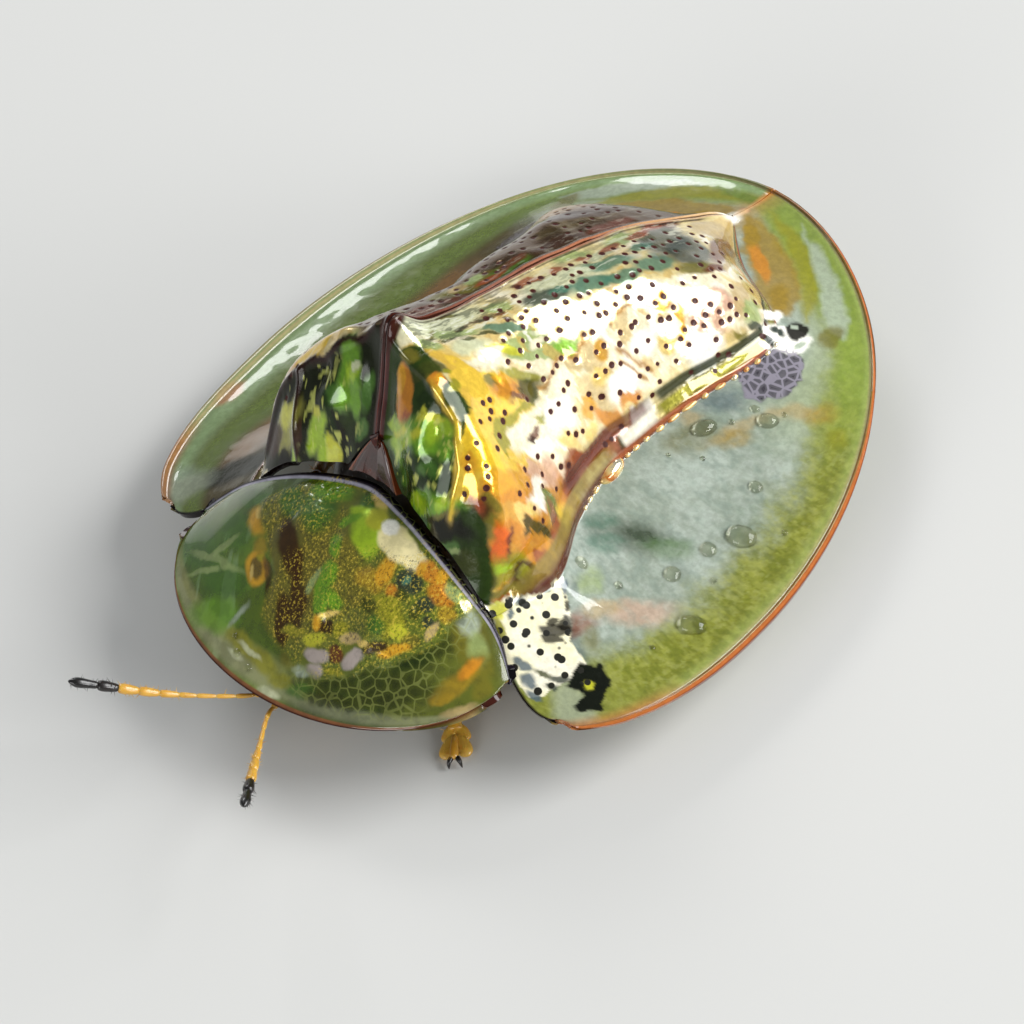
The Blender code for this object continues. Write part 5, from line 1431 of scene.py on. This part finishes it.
def leg(place, side):
    """Thigh, shin and a foot of broad bristly joints with a two-lobed pad and claws."""
    root, knee, ankle, toe = [np.array(point) for point in LEG_STANCE[place]]
    if side < 0:
        dx, dy = RIGHT_SHIFT[place]
        knee, ankle, toe = knee + (0, dy * 0.4, 0), ankle + (dx, dy, 0), toe + (dx, dy, 0)
    flip = np.array((side, 1, 1))
    root, knee, ankle, toe = root * flip, knee * flip, ankle * flip, toe * flip
    along = unit((toe - ankle) * (1, 1, 0))
    across = np.array((-along[1], along[0], 0))
    reach = np.linalg.norm((toe - ankle)[:2])

    def at(forward, aside, z):
        return np.append((ankle + along * forward * reach + across * aside)[:2], z)

    forms = Forms()
    hip = [root * (0.72, 1, 1) + (0, 0, -0.02), root, root + (knee - root) * 0.10]
    forms.tube(hip, [(0, 0.16), (0.6, 0.17), (1, 0.13)], 1, UP, 14, 18, 3, 0.25, 0.1)
    thigh = [root + (knee - root) * 0.04, (root + knee) / 2 + (0, 0, 0.03), knee]
    widths = [(0, 0.13), (0.3, 0.22), (0.6, 0.235), (0.88, 0.16), (1, 0.13)]
    forms.tube(thigh, widths, 0.82, UP, 32, 22, 7, 0.12, 0.12)
    forms.orb(knee, (0.125, 0.125, 0.115), None, 16, 20, 0.45)
    shin = [knee, (knee + ankle) / 2 + (0, 0, 0.04), ankle + (0, 0, -0.02)]
    widths = [(0, 0.09), (0.15, 0.12), (0.7, 0.14), (0.92, 0.175), (1, 0.15)]
    forms.tube(shin, widths, 0.85, UP, 30, 20, 7, 0.12, 0.35)
    heel = [at(-0.04, 0, -0.80), at(0.12, 0, -0.88), at(0.26, 0, -0.95)]
    forms.tube(heel, [(0, 0.07), (0.5, 0.11), (1, 0.14)], 0.70, UP, 16, 18, 4, 0.15, 0.7)
    for lobe in (-1, 1):
        pad = [at(0.14, lobe * 0.03, -0.92), at(0.28, lobe * 0.10, -0.98), at(0.44, lobe * 0.20, -1.02)]
        forms.tube(pad, [(0, 0.07), (0.5, 0.12), (1, 0.09)], 0.55, UP, 18, 18, 4, 0.10, 1.0)
        sole = [at(0.34, lobe * 0.03, -0.96), at(0.55, lobe * 0.12, -1.015), at(0.80, lobe * 0.20, -1.035)]
        widths = [(0, 0.07), (0.45, 0.125), (0.8, 0.125), (1, 0.08)]
        forms.tube(sole, widths, 0.52, UP, 22, 20, 4, 0.06, 1.0)
        claw = [at(0.86, lobe * 0.035, -0.93), at(0.97, lobe * 0.09, -0.95), at(1.02, lobe * 0.11, -1.06)]
        forms.tube(claw, [(0, 0.045), (0.5, 0.038), (1, 0.010)], 1, (0, 0.3, 1), 16, 12, 4, 0.97)
    claw_joint = [at(0.36, 0, -0.93), at(0.62, 0, -0.90), at(0.92, 0, -0.93)]
    forms.tube(claw_joint, [(0, 0.05), (0.5, 0.065), (1, 0.085)], 0.85, UP, 20, 16, 4, 0.20, 0.4)
    return forms


def limb_paint():
    """Amber cuticle that darkens to brown at the joints and to black at claws and tips."""
    p = Paint(
        "straw_limb", Roughness=0.32, Coat_Weight=0.35, Coat_Roughness=0.1, Subsurface_Weight=0.15,
        Subsurface_Scale=0.2 * MM,
    )
    shade = p.attribute("shade")
    grain = p.noise(7.0, 4.0, 0.6)
    toned = shade + (grain - 0.5) * 0.16
    stops = [
        (0.0, "d9b04e"), (0.16, "bd8c2c"), (0.34, "8f5a18"), (0.55, "5c2c0a"), (0.80, "1c0d06"),
        (1.0, "080605"),
    ]
    p.relief(p.noise(16.0, 3.0, 0.6), 0.3, 0.02)
    p.set(Base_Color=p.ramp(toned, stops))
    return p.material


def body_paint():
    """Dark brown underside with small punctures, paler on hips and at the edges."""
    p = Paint("dark_underside", Roughness=0.35, Coat_Weight=0.5, Coat_Roughness=0.15)
    pores = p.cells(9.0).step(0.10, 0.32)
    cloud = p.noise(1.3, 4.0, 0.6)
    stops = [(0.30, "150b06"), (0.50, "2b160a"), (0.72, "4d280e"), (1.0, "8a5418")]
    colour = p.ramp(cloud + p.attribute("shade") * 0.6, stops)
    colour = p.mix((1 - pores) * 0.6, colour, "0c0603")
    p.relief(pores + p.noise(5.0, 3.0) * 0.5, 0.5, 0.03)
    p.set(Base_Color=colour)
    return p.material


def scutellum_mesh():
    """The small shield between the bases of the wing cases."""
    rows, columns = 40, 61
    share = np.linspace(0, 1, rows)[:, None]
    line = np.linspace(-1, 1, columns)[None, :]
    half = (SCUTELLUM_HALF_BASE - 0.06) * (1 - share) ** 0.9 + 0.004
    x = half * line
    y = shield_rear(x) + 0.03 + (SCUTELLUM_LENGTH - 0.02) * share
    inner = 1 - np.abs(line)
    z = disc_height(x, y) + 0.01 + 0.05 * smooth(inner / 0.5) - 0.02 * bulge(inner, 0.16, 0.06)
    grid = np.stack([x, y + 0 * x, z], -1)
    fields = {"edge": 1 - inner + 0 * x}
    return shell_mesh("scutellum", grid, np.full(x.shape, SCUTELLUM_WALL), fields)


def scutellum_paint():
    p = Paint("brown_plate", Roughness=0.2, Coat_Weight=1.0, Coat_Roughness=0.05)
    mottle = p.noise(4.0, 4.0, 0.6)
    colour = p.ramp(mottle, [(0.35, "220a05"), (0.55, "3e150b"), (0.75, "5e2514")])
    colour = p.mix(p.attribute("edge").step(0.88, 0.97), colour, "7a3a1c")
    p.relief(p.noise(12.0, 3.0), 0.3, 0.02)
    p.set(Base_Color=colour)
    return p.material


def eye_paint():
    p = Paint("facet_eye", Roughness=0.12, Coat_Weight=1.0, Coat_Roughness=0.05)
    p.set(Base_Color=p.ramp(p.noise(3.0, 2.0), [(0.3, "050303"), (0.7, "1a0b07")]))
    return p.material


# Gilt beads along the foot of each disc: (y, half length, half width) in mm
BEADS = [
    (-0.28, 0.05, 0.035), (-0.10, 0.07, 0.04), (0.12, 0.09, 0.045), (0.56, 0.30, 0.15), (0.98, 0.06, 0.04),
    (1.18, 0.08, 0.045), (1.42, 0.07, 0.04), (1.72, 0.09, 0.05), (2.02, 0.13, 0.045), (2.36, 0.16, 0.045),
    (2.68, 0.07, 0.05), (2.98, 0.11, 0.045), (3.26, 0.07, 0.05), (3.50, 0.06, 0.045), (3.74, 0.07, 0.05),
    (3.98, 0.06, 0.045), (4.20, 0.05, 0.04),
]

# Clear blisters of the left margin and of the shield: (x, y, half length, half width, turn)
BLISTERS = [
    (4.44, 1.04, 0.27, 0.21, 20), (4.20, 0.51, 0.15, 0.14, 0), (4.07, -0.26, 0.15, 0.15, 0),
    (3.37, 3.01, 0.20, 0.14, 40), (4.89, -0.78, 0.26, 0.18, 30), (4.00, 1.91, 0.13, 0.11, 0),
    (3.01, -1.15, 0.13, 0.10, 0), (2.72, 2.20, 0.24, 0.15, 60), (3.10, 3.05, 0.10, 0.07, 30),
    (2.96, 2.62, 0.06, 0.05, 0), (3.05, 1.75, 0.05, 0.05, 0), (2.62, 1.42, 0.05, 0.04, 0),
    (4.62, 0.10, 0.07, 0.06, 0), (3.62, -1.02, 0.08, 0.07, 0), (4.90, 1.55, 0.06, 0.06, 0),
    (3.50, 3.30, 0.06, 0.05, 0), (4.72, -1.55, 0.06, 0.05, 0),
]
SHIELD_BLISTERS = [
    (-0.85, -5.52, 0.08, 0.07, 0), (-0.50, -5.62, 0.07, 0.06, 0), (-1.02, -5.32, 0.06, 0.05, 0),
]


# Rings of the little balls that beads and blisters are made from
STUD_RINGS = 16


def seats(grid, places):
    """Where places seen from above lie on a grid of points, and the surface's normals there."""
    flat, normals = grid.reshape(-1, 3), grid_normals(grid).reshape(-1, 3)
    nearest = [int(np.argmin((flat[:, 0] - x) ** 2 + (flat[:, 1] - y) ** 2)) for x, y in places]
    return flat[nearest], normals[nearest]


def studs(name, points, normals, ways, sizes, material, settings):
    """Rounded studs on points, each turned to its normal and its way and scaled to its size."""
    growth = Growth(name, segments=settings.stud_segments)
    sockets = {"Radius": MM, "Segments": growth.input("segments"), "Rings": STUD_RINGS}
    ball = growth.add("GeometryNodeMeshUVSphere", sockets)
    normal_way, long_way, size = [
        growth.field(field, "FLOAT_VECTOR") for field in ("normal_way", "long_way", "size")
    ]
    upright = growth.add("FunctionNodeAlignRotationToVector", {"Vector": normal_way}, axis="Z")
    sockets = {"Rotation": upright, "Vector": long_way}
    turned = growth.add("FunctionNodeAlignRotationToVector", sockets, axis="X", pivot_axis="Z")
    sockets = {"Points": growth.input("Geometry"), "Instance": ball, "Rotation": turned, "Scale": size}
    mesh = bpy.data.meshes.new(name)
    mesh.from_pydata(to_metres(points).tolist(), [], [])
    for field, values in (("normal_way", normals), ("long_way", ways), ("size", sizes)):
        data = mesh.attributes.new(field, "FLOAT_VECTOR", "POINT").data
        data.foreach_set("vector", np.asarray(values, np.float32).ravel())
    obj = growth.bake(growth.add("GeometryNodeInstanceOnPoints", sockets), name, mesh, material)
    obj.data.shade_smooth()
    return obj


def blister_rows(grid, table):
    """Points, normals, ways and sizes of clear blisters on a surface."""
    points, normals = seats(grid, [row[:2] for row in table])
    ways = [(math.cos(math.radians(row[4])), math.sin(math.radians(row[4])), 0) for row in table]
    sizes = [(row[2], row[3], 0.30 * (row[2] + row[3])) for row in table]
    return points, normals, ways, sizes


def bead_paint():
    p = Paint("gilt_bead", Roughness=0.10, Coat_Weight=1.0, Coat_Roughness=0.02)
    p.set(Base_Color=p.ramp(p.noise(3.5, 3.0), [(0.35, "b86a1a"), (0.48, "f3d58a"), (0.62, "fff6d8")]))
    p.set(Metallic=p.ramp(p.noise(3.5, 3.0), [(0.40, 0.3), (0.60, 0.9)]))
    return p.material


def blister_paint():
    """Clear as glass, faintly grained by the cuticle."""
    p = Paint("clear_blister", Base_Color="f4f6e4", Roughness=0.02, Transmission_Weight=1.0, IOR=1.38)
    p.relief(p.noise(4.0, 2.0), 0.1, 0.02)
    return p.material


# Height over the floor below which the feet bear no hairs, and the radius of a hair at its root, m
BARE_SOLE = 0.12 * MM
HAIR_RADIUS = 0.007 * MM


def hairs(name, forms, material, settings):
    """Short tapering hairs strewn over the hairy shares of limbs and body."""
    growth = Growth(name, density=settings.hair_density * 1e6, length=settings.hair_length, seed=5)
    density = growth.field("hair", "FLOAT") * growth.input("density")
    sockets = {"Mesh": growth.input("Geometry"), "Density": density, "Seed": growth.input("seed")}
    strewn = growth.add("GeometryNodeDistributePointsOnFaces", sockets)
    rotation = Value(growth, strewn.socket.node.outputs["Rotation"])
    sockets = {"Vertices": 4, "Radius Bottom": HAIR_RADIUS, "Depth": growth.input("length")}
    cone = growth.add("GeometryNodeMeshCone", sockets)
    sockets = {0: (-0.7, -0.7, 0.0), 1: (0.7, 0.7, 6.28), "Seed": 8}
    lean = growth.add("FunctionNodeRandomValue", sockets, data_type="FLOAT_VECTOR")
    sockets = {"Rotation": rotation, "Rotate By": lean}
    leaned = growth.add("FunctionNodeRotateRotation", sockets, rotation_space="LOCAL")
    size = growth.add("FunctionNodeRandomValue", {2: 0.5, 3: 1.1, "Seed": 9}, out=1)
    sockets = {"Points": strewn, "Instance": cone, "Rotation": leaned, "Scale": size}
    skin = forms.mesh(name)
    heights, hairy = np.zeros(len(skin.vertices) * 3), np.zeros(len(skin.vertices))
    skin.vertices.foreach_get("co", heights)
    skin.attributes["hair"].data.foreach_get("value", hairy)
    hairy[heights[2::3] < BARE_SOLE] = 0.0
    skin.attributes["hair"].data.foreach_set("value", hairy)
    return growth.bake(growth.add("GeometryNodeInstanceOnPoints", sockets), name, skin, material)


class ShellSettings(PropertyGroup):
    wall: FloatProperty(
        name="Wall", description="Thickness of the shell", default=0.11 * MM, unit="LENGTH", precision=6,
    )
    punctures: IntProperty(
        name="Punctures", description="Tries at a puncture on each disc", default=330, min=0,
    )


class LimbSettings(PropertyGroup):
    facet_detail: IntProperty(
        name="Facet detail", description="Subdivisions of the eyes", default=4, min=1, max=5,
    )
    hair_density: FloatProperty(
        name="Hairs", description="Hairs on a square millimetre", default=110.0, min=0.0,
    )
    hair_length: FloatProperty(
        name="Hair length", description="Length of a hair", default=0.10 * MM, unit="LENGTH", precision=6,
    )


class StudSettings(PropertyGroup):
    stud_segments: IntProperty(
        name="Segments", description="Segments round a bead or blister", default=28, min=6,
    )


class StageSettings(PropertyGroup):
    floor: FloatVectorProperty(
        name="Floor", description="Colour of the floor", subtype="COLOR", default=(0.62, 0.62, 0.60),
    )
    light: FloatProperty(name="Light", description="Power of the main soft box", default=0.80, unit="POWER")
    lens: FloatProperty(name="Lens", description="Focal length of the camera in mm", default=254.7)


class BEETLE_OT_wing_cases(Operator):
    """Build the two wing cases"""

    bl_idname = "beetle.wing_cases"
    bl_label = "Wing cases"

    def execute(self, context):
        for word, side in (("left", 1), ("right", -1)):
            piece = wing_case("wing_case_" + word, side, context.scene.beetle_shell)
            finish(piece, ["elytron_" + word])
        return {"FINISHED"}


class BEETLE_OT_shield(Operator):
    """Build the shield over the head, and the small plate behind it"""

    bl_idname = "beetle.shield"
    bl_label = "Shield"

    def execute(self, context):
        finish(shield(context.scene.beetle_shell), ["pronotum"])
        plate = new_object("scutellum_plate", scutellum_mesh(), scutellum_paint())
        finish(plate, ["scutellum"])
        return {"FINISHED"}


class BEETLE_OT_body(Operator):
    """Build the body under the shell and the head with its eyes"""

    bl_idname = "beetle.body"
    bl_label = "Body"

    def execute(self, context):
        trunk = new_object("body", body().mesh("body"), body_paint())
        finish(trunk, ["prothorax", "thorax", "abdomen"])
        finish(new_object("head_capsule", head().mesh("head_capsule"), limb_paint()), ["head"])
        black = eye_paint()
        for word, side in (("left", 1), ("right", -1)):
            piece = eye("facet_eye_" + word, side, context.scene.beetle_limbs, black)
            finish(piece, ["eye_" + word])
        return {"FINISHED"}


class BEETLE_OT_limbs(Operator):
    """Build the feelers and legs with their hairs"""

    bl_idname = "beetle.limbs"
    bl_label = "Limbs"

    def execute(self, context):
        amber = limb_paint()
        everything = Forms()
        for word, side in (("left", 1), ("right", -1)):
            limb = feeler(word)
            everything.join(limb)
            piece = new_object("feeler_" + word, limb.mesh("feeler_" + word), amber)
            finish(piece, ["antenna_" + word])
            for place in LEG_STANCE:
                limb = leg(place, side)
                everything.join(limb)
                name = "jointed_leg_{}_{}".format(place, word)
                piece = new_object(name, limb.mesh(name), amber)
                finish(piece, ["leg_{}_{}".format(place, word)])
        everything.join(head())
        finish(hairs("hairs", everything, amber, context.scene.beetle_limbs), [])
        return {"FINISHED"}


class BEETLE_OT_studs(Operator):
    """Set the gilt beads along the discs and the clear blisters on the margins"""

    bl_idname = "beetle.studs"
    bl_label = "Beads and blisters"

    def execute(self, context):
        settings = context.scene.beetle_studs
        grid = wing_grid(*WING_GRID)[0]
        gilt = bead_paint()
        y = np.array([row[0] for row in BEADS])
        for word, side in (("left", 1), ("right", -1)):
            x = disc_width(y) + 0.015
            points = np.stack([x * side, y, through(DISC_FOOT, y) + 0.01], 1)
            slope = (disc_width(y + 0.1) - disc_width(y - 0.1)) / 0.2
            ways = unit(np.stack([slope * side, np.ones(len(y)), -0.04 * np.ones(len(y))], 1))
            sizes = [(row[1], row[2], row[2] * 0.85) for row in BEADS]
            normals = [(0.35 * side, 0, 0.94)] * len(y)
            finish(studs("bead_row_" + word, points, normals, ways, sizes, gilt, settings), [])
        clear = blister_paint()
        rows = blister_rows(grid, BLISTERS)
        finish(studs("margin_blisters", *rows, clear, settings), [])
        x, y = np.meshgrid(np.linspace(-3.4, 3.4, 241), np.linspace(-5.9, -2.5, 161))
        surface = np.stack([x, y, shield_height(x, y)], -1)
        rows = blister_rows(surface, SHIELD_BLISTERS)
        finish(studs("shield_blisters", *rows, clear, settings), [])
        return {"FINISHED"}


# Camera as fitted to the photo: its axes and place in the beetle's frame
CAMERA_RIGHT = (0.7244, 0.6534, -0.2198)
CAMERA_DOWN = (0.3894, -0.6509, -0.6516)
CAMERA_AWAY = (-0.5689, 0.3865, -0.7260)
CAMERA_PLACE = (68.27, -46.38, 87.12)
CAMERA_SHIFT = (0.0092, -0.0387)

# Size of the floor and distance of the soft boxes, m, and the plain sky
FLOOR_SIZE = 1.5
LIGHT_DISTANCE = 0.26
SKY_COLOUR = (0.86, 0.90, 0.94, 1.0)
SKY_STRENGTH = 0.30
SENSOR_WIDTH = 36.0

# Soft boxes: name, direction, size in metres, share of the main one's power
SOFT_BOXES = [
    ("key", (0.58, 0.60, 0.55), 0.18, 1.0),
    ("side", (0.92, 0.10, 0.36), 0.10, 0.35),
    ("fill", (0.10, -0.94, 0.32), 0.14, 0.30),
    ("back", (-0.75, 0.45, 0.55), 0.10, 0.20),
]


class BEETLE_OT_stage(Operator):
    """Lay the floor and place the soft boxes and the camera"""

    bl_idname = "beetle.stage"
    bl_label = "Stage"

    def execute(self, context):
        settings = context.scene.beetle_stage
        bm = bmesh.new()
        bmesh.ops.create_grid(bm, x_segments=1, y_segments=1, size=FLOOR_SIZE)
        mesh = bpy.data.meshes.new("floor")
        bm.to_mesh(mesh)
        bm.free()
        p = Paint("pale_floor", Roughness=0.6)
        p.shader.inputs["Base Color"].default_value = (*settings.floor, 1.0)
        new_object("floor", mesh, p.material)
        world = bpy.data.worlds.new("studio")
        context.scene.world = world
        world.use_nodes = True
        background = world.node_tree.nodes["Background"]
        background.inputs["Color"].default_value = SKY_COLOUR
        background.inputs["Strength"].default_value = SKY_STRENGTH
        for name, direction, size, share in SOFT_BOXES:
            data = bpy.data.lights.new(name, "AREA")
            data.shape = "RECTANGLE"
            data.size = size
            data.size_y = size * 0.7
            data.energy = settings.light * share
            light = bpy.data.objects.new(name, data)
            context.scene.collection.objects.link(light)
            light.location = Vector(direction).normalized() * LIGHT_DISTANCE
            light.rotation_euler = (-light.location).to_track_quat("-Z", "Y").to_euler()
        camera = bpy.data.objects.new("camera", bpy.data.cameras.new("camera"))
        context.scene.collection.objects.link(camera)
        axes = (Vector(CAMERA_RIGHT), -Vector(CAMERA_DOWN), -Vector(CAMERA_AWAY))
        turn = Matrix(axes).transposed().to_4x4()
        camera.matrix_world = Matrix.Translation(Vector(to_metres(CAMERA_PLACE))) @ turn
        camera.data.lens = settings.lens
        camera.data.sensor_width = SENSOR_WIDTH
        camera.data.shift_x, camera.data.shift_y = CAMERA_SHIFT
        camera.data.clip_start = 0.01
        context.scene.camera = camera
        context.scene.view_settings.view_transform = "Standard"
        return {"FINISHED"}


class BEETLE_PT_panel(Panel):
    """Settings and pieces of the beetle"""

    bl_idname = "BEETLE_PT_panel"
    bl_label = "Golden tortoise beetle"
    bl_space_type = "VIEW_3D"
    bl_region_type = "UI"
    bl_category = "Beetle"

    def draw(self, context):
        for key, group in SETTINGS.items():
            for name in group.__annotations__:
                self.layout.prop(getattr(context.scene, key), name)
        for operator in OPERATORS:
            self.layout.operator(operator.bl_idname)


OPERATORS = (
    BEETLE_OT_wing_cases, BEETLE_OT_shield, BEETLE_OT_body, BEETLE_OT_limbs, BEETLE_OT_studs, BEETLE_OT_stage,
)
SETTINGS = {
    "beetle_shell": ShellSettings,
    "beetle_limbs": LimbSettings,
    "beetle_studs": StudSettings,
    "beetle_stage": StageSettings,
}


def register():
    for item in (*SETTINGS.values(), *OPERATORS, BEETLE_PT_panel):
        bpy.utils.register_class(item)
    for name, group in SETTINGS.items():
        setattr(bpy.types.Scene, name, PointerProperty(type=group))


def unregister():
    for name in SETTINGS:
        delattr(bpy.types.Scene, name)
    for item in reversed((*SETTINGS.values(), *OPERATORS, BEETLE_PT_panel)):
        bpy.utils.unregister_class(item)


def main():
    register()
    bpy.ops.beetle.wing_cases()
    bpy.ops.beetle.shield()
    bpy.ops.beetle.body()
    bpy.ops.beetle.limbs()
    bpy.ops.beetle.studs()
    bpy.ops.beetle.stage()


if __name__ == "__main__":
    main()
